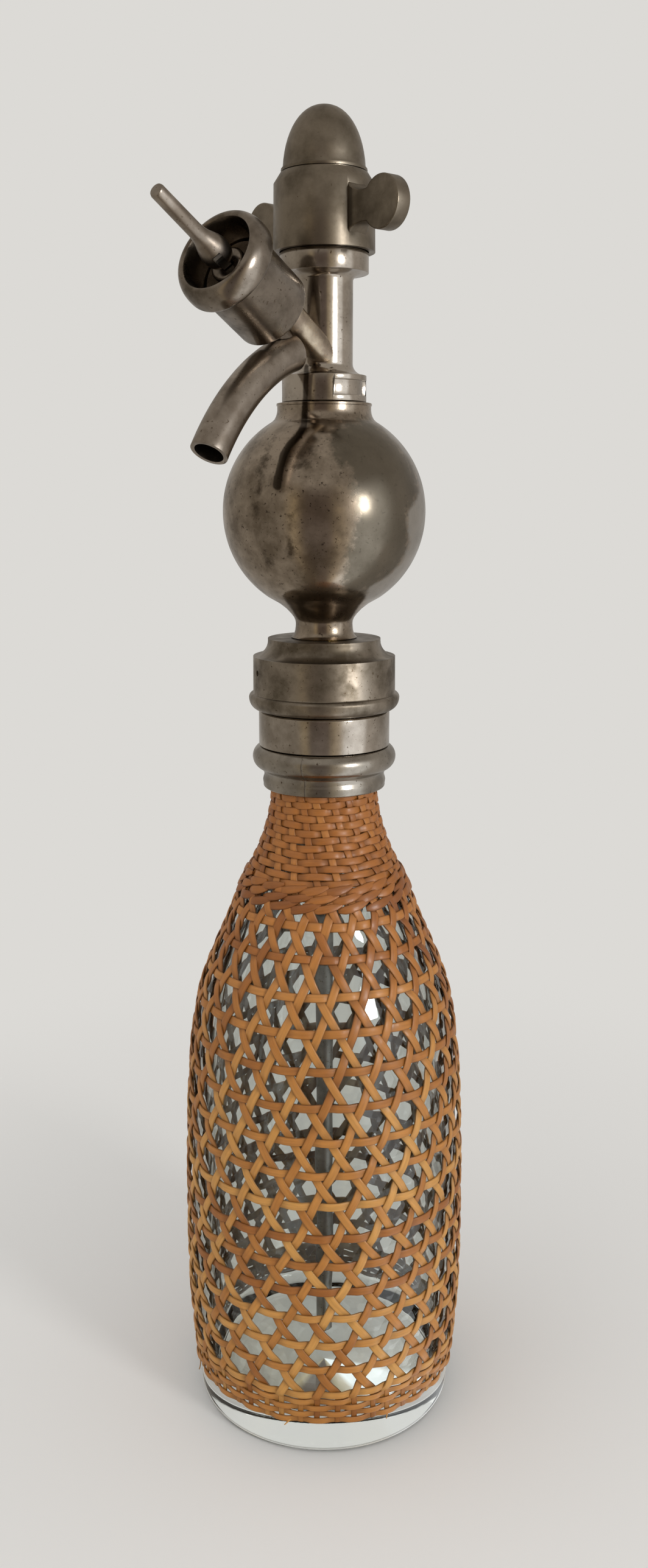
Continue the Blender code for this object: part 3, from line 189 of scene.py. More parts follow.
def plate(name, outline, low, high, place=None):
    """A flat piece with its outline as (Y, Z) points, from X low to X high."""
    deselect()
    bpy.ops.mesh.primitive_plane_add(size=MM, location=(0, 0, 0))
    piece = called(name)
    edit(piece)
    bpy.ops.mesh.merge(type='CENTER')
    last = (0, 0, 0)
    for index, (y, z) in enumerate(outline):
        point = (low * MM, y * MM, z * MM)
        step = tuple(new - old for new, old in zip(point, last))
        if index == 0:
            bpy.ops.transform.translate(value=step)
        else:
            bpy.ops.mesh.extrude_region_move(TRANSFORM_OT_translate={"value": step})
        last = point
    bpy.ops.mesh.select_all(action='SELECT')
    bpy.ops.mesh.edge_face_add()
    bpy.ops.mesh.extrude_region_move(TRANSFORM_OT_translate={"value": ((high - low) * MM, 0, 0)})
    close(piece)
    if place is not None:
        put(piece, place)
    return piece


def drawn(name, middle, radius):
    """A round bar bent in the YZ plane: a circle drawn along the middle points, turned square to them."""
    deselect()
    points = [Vector((0, y, z)) * MM for y, z in middle]
    ways = [(points[min(i + 1, len(points) - 1)] - points[max(i - 1, 0)]).normalized() for i in range(len(points))]
    turns = [atan2(-way.y, way.z) for way in ways]
    bpy.ops.mesh.primitive_circle_add(vertices=SMALL, radius=radius * MM, location=points[0],
                                      rotation=(turns[0], 0, 0))
    piece = called(name)
    settle(piece)
    edit(piece)
    bpy.ops.mesh.edge_face_add()
    for i in range(1, len(points)):
        bpy.ops.mesh.extrude_region_move(TRANSFORM_OT_translate={"value": tuple(points[i] - points[i - 1])})
        bpy.ops.transform.rotate(value=-(turns[i] - turns[i - 1]), orient_axis='X', orient_type='GLOBAL',
                                 center_override=tuple(points[i]))
    close(piece)
    return piece


def bearing(azimuth):
    """Level direction at an azimuth."""
    turn = radians(azimuth)
    return Vector((sin(turn), -cos(turn), 0))


def arc(centre_radius, centre_height, radius, first, last, steps, rise=None):
    """Points of an arc in an outline, its angles in degrees from the outward direction; with a rise, of an ellipse."""
    points = []
    for step in range(steps + 1):
        angle = radians(first + (last - first) * step / steps)
        points.append((centre_radius + radius * cos(angle), centre_height + (rise or radius) * sin(angle)))
    return points


def curve(points):
    """A smooth line through points, with eight steps from each to the next."""
    steps = 8
    line = []
    for index in range(len(points) - 1):
        before = points[max(index - 1, 0)]
        here, there = points[index], points[index + 1]
        after = points[min(index + 2, len(points) - 1)]
        for step in range(steps):
            t = step / steps
            line.append(tuple(0.5 * (2 * b + (c - a) * t + (2 * a - 5 * b + 4 * c - d) * t ** 2
                                     + (3 * b - a - 3 * c + d) * t ** 3)
                              for a, b, c, d in zip(before, here, there, after)))
    return line + [tuple(points[-1])]


def clamp(value):
    """Holds a value between 0 and 1."""
    return max(0.0, min(1.0, value))


def between(table, value):
    """Reads a table of (value, result) pairs between its rows."""
    if value <= table[0][0]:
        return table[0][1]
    for (low, first), (high, second) in zip(table, table[1:]):
        if value <= high:
            return first + (second - first) * (value - low) / (high - low)
    return table[-1][1]


# ---- materials ----

def colour(text):
    """An sRGB hex colour as linear numbers."""
    parts = [int(text[i:i + 2], 16) / 255 for i in (1, 3, 5)]
    return (*[part / 12.92 if part <= 0.04045 else ((part + 0.055) / 1.055) ** 2.4 for part in parts], 1.0)


def add(tree, kind, inputs=None, stops=None, output=0, **settings):
    """Adds a node and gives one of its outputs; an input is a value or another output, and stops fill a ramp."""
    node = tree.nodes.new("ShaderNode" + kind)
    for key, value in settings.items():
        setattr(node, key, value)
    for key, value in (inputs or {}).items():
        if isinstance(value, bpy.types.NodeSocket):
            tree.links.new(value, node.inputs[key])
        else:
            node.inputs[key].default_value = value
    if stops:
        while len(node.color_ramp.elements) < len(stops):
            node.color_ramp.elements.new(0.5)
        for element, (place, value) in zip(node.color_ramp.elements, stops):
            element.position = place
            element.color = colour(value) if isinstance(value, str) else (value, value, value, 1.0)
    return node.outputs[output] if node.outputs else node


def new_material(name, **sockets):
    """A material with its shader's plain values set on the shader itself."""
    made = bpy.data.materials.new(name)
    made.use_nodes = True
    tree = made.node_tree
    shader = tree.nodes["Principled BSDF"]
    for key, value in sockets.items():
        shader.inputs[key.replace("_", " ")].default_value = value
    return made, tree, shader


def feed(shader, **outputs):
    """Links nodes' outputs to the shader's sockets."""
    for key, value in outputs.items():
        shader.id_data.links.new(value, shader.inputs[key.replace("_", " ")])


def worn_metal(name, bright, dark, mottle, rough, speck=0.62, tone="#4A3B2A", stained=False):
    """Plated metal: two tones in soft clouds, small dark specks and an uneven shine; stained, with runs of tarnish."""
    made, tree, shader = new_material(name, Metallic=1.0)
    # Clouds are mottle millimetres across, specks about 1 mm and dents about 6 mm
    thin, full = 0.36, 0.62
    place = add(tree, "TexCoord", output="Object")
    clouds = add(tree, "TexNoise", {"Vector": place, "Scale": 1 / (mottle * MM), "Detail": 6.0, "Roughness": 0.62})
    base = add(tree, "ValToRGB", {"Fac": clouds}, [(thin, dark), (full, bright)])
    grains = add(tree, "TexNoise", {"Vector": place, "Scale": 900.0, "Detail": 4.0, "Roughness": 0.7})
    specks = add(tree, "ValToRGB", {"Fac": grains}, [(speck, 0.0), (speck + 0.07, 1.0)])
    plating = add(tree, "Mix", {"Factor": specks, "A": base, "B": colour(tone)}, output="Result", data_type='RGBA')
    if stained:
        plating = stain(tree, place, plating)
    shine = add(tree, "MapRange", {"Value": clouds, "From Min": thin, "From Max": full,
                                   "To Min": rough[1], "To Max": rough[0]})
    dents = add(tree, "TexNoise", {"Vector": place, "Scale": 160.0, "Detail": 2.0})
    bump = add(tree, "Bump", {"Height": dents, "Strength": 0.2, "Distance": 0.00005})
    feed(shader, Base_Color=plating, Roughness=shine, Normal=bump)
    return made


# Marks of tarnish: how far the edge wanders and how soft it is, the tint and how much of it covers the plate
STAINS = {"patch": (1.6, 0.2, "#645E53", 0.8), "silver": (0.9, 0.2, "#B2AEA8", 0.75),
          "blot": (2.2, 0.24, "#41382D", 0.8), "drip": (0.5, 0.14, "#3C342B", 0.88)}


def stain(tree, place, plating):
    """Tarnish where the mesh says: a dull patch, brighter plate beside it, dark spots and a run of dark drips."""
    # Edges wander in steps of about 2.5 mm, those of the spots in steps of about 4.5 mm
    ragged = add(tree, "TexNoise", {"Vector": place, "Scale": 420.0, "Detail": 4.0, "Roughness": 0.65})
    blots = add(tree, "TexNoise", {"Vector": place, "Scale": 230.0, "Detail": 5.0, "Roughness": 0.7})
    for name, (wander, edge, tint, most) in STAINS.items():
        cover = add(tree, "Attribute", output="Fac", attribute_name=name)
        grain = blots if name == "blot" else ragged
        shift = add(tree, "Math", {0: grain, 1: 0.5}, operation='SUBTRACT')
        moved = add(tree, "Math", {0: shift, 1: wander, 2: cover}, operation='MULTIPLY_ADD')
        mask = add(tree, "MapRange", {"Value": moved, "From Min": 0.5 - edge, "From Max": 0.5 + edge, "To Max": most})
        held = add(tree, "Math", {0: cover, 1: 0.02}, operation='GREATER_THAN')
        factor = add(tree, "Math", {0: mask, 1: held}, operation='MULTIPLY')
        plating = add(tree, "Mix", {"Factor": factor, "A": plating, "B": colour(tint)}, output="Result",
                      data_type='RGBA')
    return plating


# Polished nickel plate, worn thin: bright with a warm cast
POLISHED = worn_metal("polished nickel plate", "#B8AFA4", "#8C8276", 14, (0.10, 0.22))
# Polished plate with the dark run that comes down the column
COLLARED = worn_metal("polished nickel column", "#B8AFA4", "#8C8276", 14, (0.12, 0.22), stained=True)
# Tarnished nickel plate: browner, in clouds
TARNISHED = worn_metal("tarnished nickel plate", "#8F857A", "#635A4F", 9, (0.20, 0.40))
# Tarnished cap plate: the same, but duller
CAPPED = worn_metal("tarnished cap plate", "#978D80", "#635A4D", 10, (0.30, 0.46))
# Dull nickel plate: dark grey-brown, nearly matte
DULL = worn_metal("dull nickel plate", "#877D6F", "#685F52", 11, (0.32, 0.46), speck=0.66)
# Brushed collar: greyer nickel with a soft shine
BRUSHED = worn_metal("brushed nickel collar", "#A39C92", "#7C756B", 12, (0.20, 0.34))
# Spout plate: beige-grey, worn dull
WORN = worn_metal("worn nickel spout", "#A79D92", "#83786C", 10, (0.26, 0.38))
# Ball plate: speckled pinkish-beige with tarnish
BALL = worn_metal("mottled nickel ball", "#A59889", "#75695B", 9, (0.14, 0.30), speck=0.60, tone="#463C32",
                  stained=True)
# Soldered tube: plate with tan solder
SOLDER = worn_metal("soldered nickel tube", "#B5A793", "#87796A", 6, (0.26, 0.44), tone="#B08D6A")
# Drawn steel: clean and grey with a soft shine
STEEL = worn_metal("drawn steel", "#A5A5A3", "#82827F", 10, (0.28, 0.42))
# Tinned tube: pale grey, nearly matte
TIN = worn_metal("dull tin", "#A3A09C", "#827F7A", 10, (0.34, 0.52))
# Turned brass: yellow, dulled in soft clouds
BRASS = worn_metal("turned brass", "#C9A45C", "#A07F3F", 12, (0.24, 0.40))


def make_glass():
    """Thick clear soda glass, blown into a mould: slightly wavy, with a faint grey-green tint."""
    made, tree, shader = new_material("thick clear glass", Base_Color=colour("#F4F8F6"), Roughness=0.01,
                                      IOR=1.5, Transmission_Weight=1.0)
    place = add(tree, "TexCoord", output="Object")
    # Waves about 17 mm wide and 37 mm tall
    stretch = add(tree, "Mapping", {"Vector": place, "Scale": (1.0, 1.0, 0.45)})
    waves = add(tree, "TexNoise", {"Vector": stretch, "Scale": 60.0, "Detail": 1.0})
    height = add(tree, "SeparateXYZ", {"Vector": place}, output="Z")
    above = add(tree, "MapRange", {"Value": height, "From Min": 0.015, "From Max": 0.045})
    swell = add(tree, "Math", {0: waves, 1: above}, operation='MULTIPLY')
    feed(shader, Normal=add(tree, "Bump", {"Height": swell, "Strength": 0.4, "Distance": 0.0008}))
    return made


def make_cane():
    """Split rattan cane, varnished: long fibres, each strand its own tone, with painted shade at its edges and in the
    gaps.
    """
    made, tree, shader = new_material("varnished split cane", Roughness=0.45, Coat_Weight=0.14, Coat_Roughness=0.25)
    place = add(tree, "TexCoord", output="Object")
    along = add(tree, "UVMap", uv_map="along")
    tone, depth, rim = [add(tree, "Attribute", output="Fac", attribute_name=name)
                        for name in ("tone", "depth", "rim")]
    # Tone drifts over about 11 mm and wear over about 4 mm; fibres are 8 mm long, with 11 round a strand
    drift = add(tree, "TexNoise", {"Vector": place, "Scale": 90.0, "Detail": 3.0})
    mixed = add(tree, "Math", {0: drift, 1: 0.9, 2: tone}, operation='MULTIPLY_ADD')
    shade = add(tree, "Math", {0: mixed, 1: 0.45}, operation='SUBTRACT')
    height = add(tree, "SeparateXYZ", {"Vector": place}, output="Z")
    climb = add(tree, "MapRange", {"Value": height, "From Min": 0.11, "From Max": 0.17})
    low = add(tree, "ValToRGB", {"Fac": shade}, [(0.0, "#A06022"), (0.5, "#C08038"), (1.0, "#D2994E")])
    high = add(tree, "ValToRGB", {"Fac": shade}, [(0.0, "#8A4F1B"), (0.5, "#A66526"), (1.0, "#B87735")])
    base = add(tree, "Mix", {"Factor": climb, "A": low, "B": high}, output="Result", data_type='RGBA')
    fine = add(tree, "Mapping", {"Vector": along, "Scale": (0.12, 11.0, 1.0)})
    fibres = add(tree, "TexNoise", {"Vector": fine, "Scale": 1.0, "Detail": 4.0, "Roughness": 0.6})
    streak = add(tree, "MapRange", {"Value": fibres, "From Min": 0.3, "From Max": 0.7, "To Min": 0.84, "To Max": 1.10})
    grained = add(tree, "VectorMath", {0: base, "Scale": streak}, operation='SCALE')
    # Painted shade: darker where the strand dips toward the glass, in the gaps of the weave
    dark = add(tree, "MapRange", {"Value": depth, "To Min": 0.62, "To Max": 1.0})
    # Painted shade on the strand's sides and flat back
    painted_edge_shade = add(tree, "MapRange", {"Value": rim, "To Min": 1.0, "To Max": 0.5})
    both = add(tree, "Math", {0: dark, 1: painted_edge_shade}, operation='MULTIPLY')
    shaded = add(tree, "VectorMath", {0: grained, "Scale": both}, operation='SCALE')
    worn = add(tree, "TexNoise", {"Vector": place, "Scale": 260.0, "Detail": 3.0})
    shine = add(tree, "MapRange", {"Value": worn, "From Min": 0.35, "From Max": 0.65, "To Min": 0.38, "To Max": 0.62})
    bump = add(tree, "Bump", {"Height": fibres, "Strength": 0.5, "Distance": 0.00008})
    feed(shader, Base_Color=shaded, Roughness=shine, Normal=bump)
    return made


def make_soft(name, dark, light, grain, rough):
    """Rubber or leather: a close grain in two tones."""
    made, tree, shader = new_material(name, Roughness=rough)
    place = add(tree, "TexCoord", output="Object")
    spots = add(tree, "TexNoise", {"Vector": place, "Scale": 1 / (grain * MM), "Detail": 4.0})
    base = add(tree, "ValToRGB", {"Fac": spots}, [(0.4, dark), (0.6, light)])
    bump = add(tree, "Bump", {"Height": spots, "Strength": 0.3, "Distance": 0.0001})
    feed(shader, Base_Color=base, Normal=bump)
    return made


GLASS = make_glass()
CANE = make_cane()
# Moulded rubber: dark grey and matte
RUBBER = make_soft("grey rubber", "#3A3938", "#4A4847", 0.6, 0.75)
# Greased leather: brown with a close grain and little shine
LEATHER = make_soft("greased leather", "#4A3424", "#6A4C33", 0.9, 0.62)


def dress(piece, finish, body, slot, *nodes):
    """Gives a finished piece its material and its body, and hides the nodes that it stands for. The slot is not used.
    """
    piece.data.materials.clear()
    piece.data.materials.append(finish)
    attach(piece, body)
    if nodes:
        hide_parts(*nodes)


# ---- the glass bottle ----

GLASS_SIDE = curve([(2.2, 43.7), (15.94, 43.78), (35.06, 45.14), (53.13, 45.6), (89.25, 45.28), (117.5, 44.1),
                    (134.5, 42.41), (147.7, 39.9), (159.4, 35.66), (170.0, 31.0), (182.75, 25.9), (195.5, 19.79),
                    (205.06, 16.51), (212.5, 15.0)])


def make_bottle():
    """Glass bottle with a thick wall, a heavy foot and a lip."""
    outline = [(0, 0)] + arc(41.5, 2.2, 2.2, -90, 0, 8)[:-1]
    outline += [(radius, height) for height, radius in GLASS_SIDE]
    outline += [(15.0, 232.7), (15.4, 233.4), (17.0, 233.4), (17.0, 246.3), (16.3, 247.0), (10.2, 247.0)]
    outline += [(9.5, 246.3), (9.5, 212.5)]
    inner = curve([(205.0, 10.9), (195.5, 14.4), (182.75, 20.9), (170.0, 26.2), (159.4, 30.7), (147.7, 34.9),
                   (134.5, 37.4), (117.5, 39.1), (89.25, 40.3), (53.13, 40.6), (35.06, 40.1), (19.0, 39.1)])
    outline += [(radius, height) for height, radius in inner]
    outline += arc(31.1, 19.0, 8.0, 0, -90, 6)[1:] + [(0, 11.0)]
    bottle = turned("bottle_glass", outline)
    smooth(bottle, 50)
    dress(bottle, GLASS, "bottle", "clear_glass", "glass_bottle")


# ---- the woven cane cover ----

RING_HEIGHTS = [23.5, 33.1, 42.2, 52.0, 61.5, 70.4, 80.2, 91.1, 101.7, 112.4, 123.7, 135.1, 146.2, 156.7, 167.3, 176.9]
# Steps between rows below the first ring and above the last
LOW_STEP, HIGH_STEP = 9.5, 9.0
CANES = 24
CELL = 360 / CANES
# Degrees that a rising and a falling cane turn from ring to ring, and where the first of each stands at one ring
RISE, FALL = 6.3, 8.7
RISE_START, FALL_START, START_RING = 12.4, 5.7, 11
GAP = RISE_START - FALL_START
# Share of the way between two rings at which the slanted canes cross
CROSSING = 0.553
MIDDLE_LIFT, WAVE = 1.5, 0.37
CANE_WIDTHS, CANE_THICKNESS = (2.6, 2.9), 0.68
# The close weave of the neck: its stakes, the pitch and ends of its winding, and how the first stake leans
STAKES = 21
STAKE_CELL = 360 / STAKES
NECK_PITCH, NECK_LOW, NECK_HIGH = 2.2, 186.2, 215.5
STAKE_LEAN, STAKE_START, STAKE_HEIGHT = -0.8, 13.3, 211.1
FRAYED_ENDS = 8
# Section of a split cane: a nearly flat outer side with small round edges and a flat back, as shares of its width
# and thickness, each with how much painted shade it gets at the strand's edge
SECTION = [(-0.5, -0.25, 1.0), (-0.49, 0.08, 0.9), (-0.44, 0.32, 0.35), (-0.33, 0.43, 0.0), (0, 0.5, 0.0),
           (0.33, 0.43, 0.0), (0.44, 0.32, 0.35), (0.49, 0.08, 0.9), (0.5, -0.25, 1.0), (0.44, -0.5, 1.0),
           (-0.44, -0.5, 1.0)]


def skin(azimuth, height, lift):
    """Point above the glass, lift millimetres off it, and the outward direction there."""
    slope = between(GLASS_SIDE, height + 1) - between(GLASS_SIDE, height - 1)
    out = Vector((2, -slope)).normalized()
    turn = radians(azimuth)
    drift = noise.noise(Vector((sin(turn) * 2.4, cos(turn) * 2.4, height / 18)))
    sway = noise.noise(Vector((cos(turn) * 2.1 + 9, sin(turn) * 2.1, height / 15)))
    height += sway * 0.55
    way = bearing(azimuth + drift * 0.8)
    point = way * (between(GLASS_SIDE, height) + lift * out.x) + UP * (height + lift * out.y)
    return point * MM, way * out.x + UP * out.y


def wave(phase):
    """A strand's way over and under, a little flat on top, for a phase in half turns."""
    return tanh(1.5 * cos(pi * phase)) / tanh(1.5)


def crossing(part, gap, cell):
    """Phase of a strand at a part of its cell, whose two crossings lie at 0 and at the gap."""
    return part / gap if part < gap else 1 + (part - gap) / (cell - gap)


def level(row):
    """Height of a place between the rings, by ring number."""
    rows = len(RING_HEIGHTS) - 1
    if row < 0:
        return RING_HEIGHTS[0] + LOW_STEP * row
    if row > rows:
        return RING_HEIGHTS[rows] + HIGH_STEP * (row - rows)
    index = min(int(row), rows - 1)
    return RING_HEIGHTS[index] + (RING_HEIGHTS[index + 1] - RING_HEIGHTS[index]) * (row - index)


class Weaver:
    """Collects strands of cane into one mesh, each with its tone and a run of UVs along it."""

    def __init__(self, name, seed):
        self.name = name
        self.bm = bmesh.new()
        self.tone = self.bm.verts.layers.float.new("tone")
        # How low each point lies and how near the strand's edge it is, which set its painted shade
        self.depth = self.bm.verts.layers.float.new("depth")
        self.rim = self.bm.verts.layers.float.new("rim")
        self.along = self.bm.loops.layers.uv.new("along")
        self.chance = random.Random(seed)

    def strand(self, path, width, thickness=CANE_THICKNESS, taper=None, ring=False, tone=None):
        """One strand through (azimuth, height, lift) places."""
        spots = [skin(*place) for place in path]
        tone = self.chance.random() if tone is None else tone
        shift = self.chance.random() * 100
        count = len(spots)
        rings, run = [], [0.0]
        for index, (point, out) in enumerate(spots):
            ahead = spots[(index + 1) % count if ring else min(index + 1, count - 1)][0]
            behind = spots[(index - 1) % count if ring else max(index - 1, 0)][0]
            side = out.cross(ahead - behind).normalized()
            face = (ahead - behind).cross(side).normalized()
            wide = width * (taper(index / (count - 1)) if taper else 1)
            # How high the strand lies above the glass, which sets its painted shade in the gaps
            depth = clamp((path[index][2] - 0.8) / 0.9)
            corners = []
            for across, up, rim in SECTION:
                corner = self.bm.verts.new(point + (side * across * wide + face * up * thickness) * MM)
                corner[self.tone] = tone
                corner[self.depth] = depth
                corner[self.rim] = rim
                corners.append(corner)
            rings.append(corners)
            if index:
                run.append(run[-1] + (point - spots[index - 1][0]).length / MM)
        size = len(SECTION)
        pairs = list(zip(range(count), range(1, count)))
        if ring:
            pairs.append((count - 1, 0))
        for low, high in pairs:
            far = run[high] if high else run[-1] + (spots[0][0] - spots[-1][0]).length / MM
            for corner in range(size):
                after = (corner + 1) % size
                face = self.bm.faces.new((rings[low][corner], rings[low][after], rings[high][after],
                                          rings[high][corner]))
                face.smooth = True
                for loop, (reach, across) in zip(face.loops, ((run[low], corner), (run[low], corner + 1),
                                                              (far, corner + 1), (far, corner))):
                    loop[self.along].uv = (reach + shift, across / size + shift)
        if not ring:
            self.bm.faces.new(rings[0])
            self.bm.faces.new(rings[-1][::-1])

    def finish(self, *nodes):
        """Turns the strands into a piece of the cover."""
        bmesh.ops.recalc_face_normals(self.bm, faces=self.bm.faces)
        mesh = bpy.data.meshes.new(self.name)
        self.bm.to_mesh(mesh)
        self.bm.free()
        piece = bpy.data.objects.new(self.name, mesh)
        bpy.context.scene.collection.objects.link(piece)
        smooth(piece, 70)
        dress(piece, CANE, "bottle", "amber_cane", *nodes)


def make_rings():
    """Level rings of the hexagonal weave, over the falling canes and under the rising ones."""
    weaver = Weaver("cane_rings", 1)
    steps = 288
    for index, height in enumerate(RING_HEIGHTS):
        start = FALL_START - FALL * (index - START_RING)
        path = []
        for step in range(steps):
            azimuth = 360 * step / steps
            phase = crossing((azimuth - start) % CELL, GAP, CELL)
            path.append((azimuth, height, MIDDLE_LIFT + WAVE * wave(phase)))
        weaver.strand(path, weaver.chance.uniform(*CANE_WIDTHS), ring=True)
    weaver.finish("cane_cover")


def make_slanted(name, seed, start, lean, over_rings):
    """Canes that climb one way: rising ones go over the rings, falling ones over the rising."""
    weaver = Weaver(name, seed)
    bottom, top, per_row, tucked = -0.5, len(RING_HEIGHTS) - 1 + 0.75, 14, 0.95
    steps = int((top - bottom) * per_row)
    for cane in range(CANES):
        path = []
        for step in range(steps + 1):
            row = bottom + (top - bottom) * step / steps
            lift = MIDDLE_LIFT + (1 if over_rings else -1) * WAVE * wave(crossing(row % 1, CROSSING, 1))
            if row < 0:
                lift = tucked + (lift - tucked) * max(0, 1 + row * 4)
            path.append((start + CELL * cane + lean * (row - START_RING), level(row), lift))
        weaver.strand(path, weaver.chance.uniform(*CANE_WIDTHS))
    weaver.finish()


def neck_lift(height):
    """How far the middle of the close weave stands off the neck, a little more toward the top."""
    return 1.45 + 0.35 * between([(195, 0), (215, 1)], height)


def first_stake(height):
    """Azimuth of the neck's first stake at a height."""
    return STAKE_START + STAKE_LEAN * (height - STAKE_HEIGHT)


def make_neck_weave():
    """Close plain weave at the neck: stakes that lean a little, and one strand that winds round them."""
    stakes = Weaver("cane_neck_stakes", 4)
    steps, low, high = 120, 181.0, 215.9
    for stake in range(STAKES):
        path = []
        sway = stakes.chance.uniform(-1.3, 1.3)
        for step in range(steps + 1):
            height = low + (high - low) * step / steps
            climbed = height - NECK_LOW
            row = climbed / NECK_PITCH - (STAKE_CELL * stake + STAKE_LEAN * climbed) / 360
            lift = neck_lift(height) - 0.22 * cos(pi * (row + stake)) if height > NECK_LOW else 1.2
            lean_way = sway * sin(height / 4.3 + stake * 1.7)
            path.append((first_stake(height) + STAKE_CELL * stake + lean_way, height, lift))
        stakes.strand(path, stakes.chance.uniform(2.2, 2.7), thickness=0.62)
    stakes.finish()
    winding = Weaver("cane_neck_strand", 5)
    per_turn = STAKES * 14
    path = []
    for step in range(int((NECK_HIGH - NECK_LOW) / NECK_PITCH * per_turn) + 1):
        azimuth = 360 * step / per_turn
        height = NECK_LOW + NECK_PITCH * step / per_turn
        phase = (azimuth - first_stake(height)) / STAKE_CELL
        wander = noise.noise(Vector((azimuth / 23, height / 2.2, 3)))
        path.append((azimuth, height + 0.35 * wander, neck_lift(height) + (0.44 + 0.12 * wander) * wave(phase)))
    winding.strand(path, 2.4, thickness=0.66, tone=0.5)
    winding.finish()


def make_waling():
    """Thick twisted rows below the neck: short strokes that climb to a pointed tip over the next one."""
    weaver = Weaver("cane_waling", 6)
    steps, tip = 16, 0.6
    for row, (height, rise) in enumerate(((187.0, 1.8), (184.5, 1.8), (182.0, 2.0))):
        for stroke in range(STAKES):
            start = STAKE_CELL * (stroke + 0.37 * row + weaver.chance.uniform(-0.1, 0.1))
            length, climb = weaver.chance.uniform(1.15, 1.35), rise * weaver.chance.uniform(0.85, 1.15)
            drop = weaver.chance.uniform(-0.3, 0.3)
            path = []
            for step in range(steps + 1):
                t = step / steps
                lift = 1.15 + 1.1 * min(1, t * 2.6) ** 0.8 - 0.45 * max(0, t - tip) / 0.4
                path.append((start + STAKE_CELL * length * t, height + drop + climb * (t ** 1.8 - 0.35), lift))
            weaver.strand(path, weaver.chance.uniform(*CANE_WIDTHS), thickness=0.8,
                          taper=lambda t: min(1, 0.6 + 2 * t) * (1 - 0.6 * max(0, (t - tip) / 0.4) ** 1.5),
                          tone=weaver.chance.uniform(0, 0.5))
    weaver.finish()


def make_foot():
    """Close band at the foot: upright cane ends, frayed ones below them and four rows wound through."""
    weaver = Weaver("cane_foot", 7)
    steps = 480
    start = FALL_START + FALL * START_RING
    for cane in range(CANES):
        for place in (start + CELL * cane, start + CELL * cane + GAP):
            weaver.strand([(place, 22.4 - 9.7 * step / 12, 1.3) for step in range(13)], 1.9, thickness=0.5)
    for _ in range(FRAYED_ENDS):
        place = weaver.chance.uniform(0, 360)
        lean, drop = weaver.chance.uniform(-3, 3), weaver.chance.uniform(0.2, 1.4)
        path = [(place + lean * t, 13.4 - (drop + 1.5) * t, 1.7 + 0.9 * t * t) for t in (0, 0.25, 0.5, 0.75, 1)]
        weaver.strand(path, 0.7, thickness=0.3, taper=lambda t: 1 - 0.6 * t, tone=1.2)
    for index, height in enumerate((20.7, 18.3, 15.9, 13.5)):
        path = []
        for step in range(steps):
            azimuth = 360 * step / steps
            half = (azimuth - start) % (2 * CELL) / CELL
            whole = int(half)
            phase = whole * 2 + crossing((half - whole) * CELL, GAP, CELL)
            path.append((azimuth, height, 1.45 + 0.4 * wave(phase + index)))
        weaver.strand(path, 2.1, thickness=0.6, ring=True, tone=weaver.chance.uniform(0.4, 0.8))
    weaver.finish()


# ---- the head ----

def make_collar():
    """Two halves of the neck collar, with their half-round bead."""
    outline = [(15.3, 216.2)] + arc(19.05, 216.85, 0.65, -90, 20, 6)
    outline += [(19.75, 217.6), (19.85, 218.5), (19.7, 219.2), (19.45, 219.8), (19.4, 220.5), (19.6, 221.3),
                (20.1, 222.0)]
    outline += arc(19.0, 226.2, 4.1, -60, 60, 16)
    outline += [(18.9, 229.8), (18.9, 232.3), (15.3, 232.3)]
    turn = radians(18)
    seam = Vector((cos(turn), sin(turn), 0))
    for name, node, normal in (("collar_left", "neck_collar_left", seam), ("collar_right", "neck_collar_right", -seam)):
        half = turned(name, outline, ring=True)
        edit(half)
        bpy.ops.mesh.bisect(plane_co=normal * 0.00001, plane_no=normal, clear_inner=True, use_fill=True)
        close(half)
        soften(half, 0.05, angle=60)
        smooth(half)
        dress(half, BRUSHED, "bottle", "polished_nickel", node)


def make_ring():
    """Neck ring between the collar and the cap."""
    outline = [(19.2, 230.05), (21.0, 230.05), (21.0, 240.7), (20.5, 241.3), (19.9, 241.3), (19.9, 252.1),
               (17.3, 252.1), (17.3, 232.6), (19.2, 232.6)]
    ring = turned("neck_ring_body", outline, ring=True, edge=0.2)
    smooth(ring)
    dress(ring, POLISHED, "bottle", "polished_nickel", "neck_ring")


def make_cap():
    """Coupling cap: rolled bead, plain side with a vent, hollow shoulder and a flat disc."""
    bottom = CAP_BOTTOM
    outline = [(20.2, bottom + 0.7)] + arc(21.0, bottom + 4.5, 3.1, -90, -9, 9, 3.8)
    outline += arc(22.6, bottom + 4.5, 1.5, 0, 80, 8) + [(22.7, bottom + 6.3), (22.6, bottom + 17.7)]
    outline += arc(22.6, bottom + 22.5, 4.7, -100, -170, 7, 4.8)
    outline += [(17.9, bottom + 22.5), (17.9, bottom + 23.3), (8.3, bottom + 23.3), (8.3, bottom + 11.8),
                (20.2, bottom + 11.8)]
    cap = turned("cap_body", outline, ring=True)
    deselect()
    out = bearing(-32)
    bpy.ops.mesh.primitive_cylinder_add(vertices=24, radius=0.9 * MM, depth=6 * MM,
                                        location=out * 22 * MM + UP * (bottom + 13) * MM,
                                        rotation=out.to_track_quat('Z', 'Y').to_euler())
    cut(cap, bpy.context.object)
    soften(cap, 0.25, angle=40)
    smooth(cap)
    dress(cap, CAPPED, "head", "tarnished_nickel", "coupling_cap")


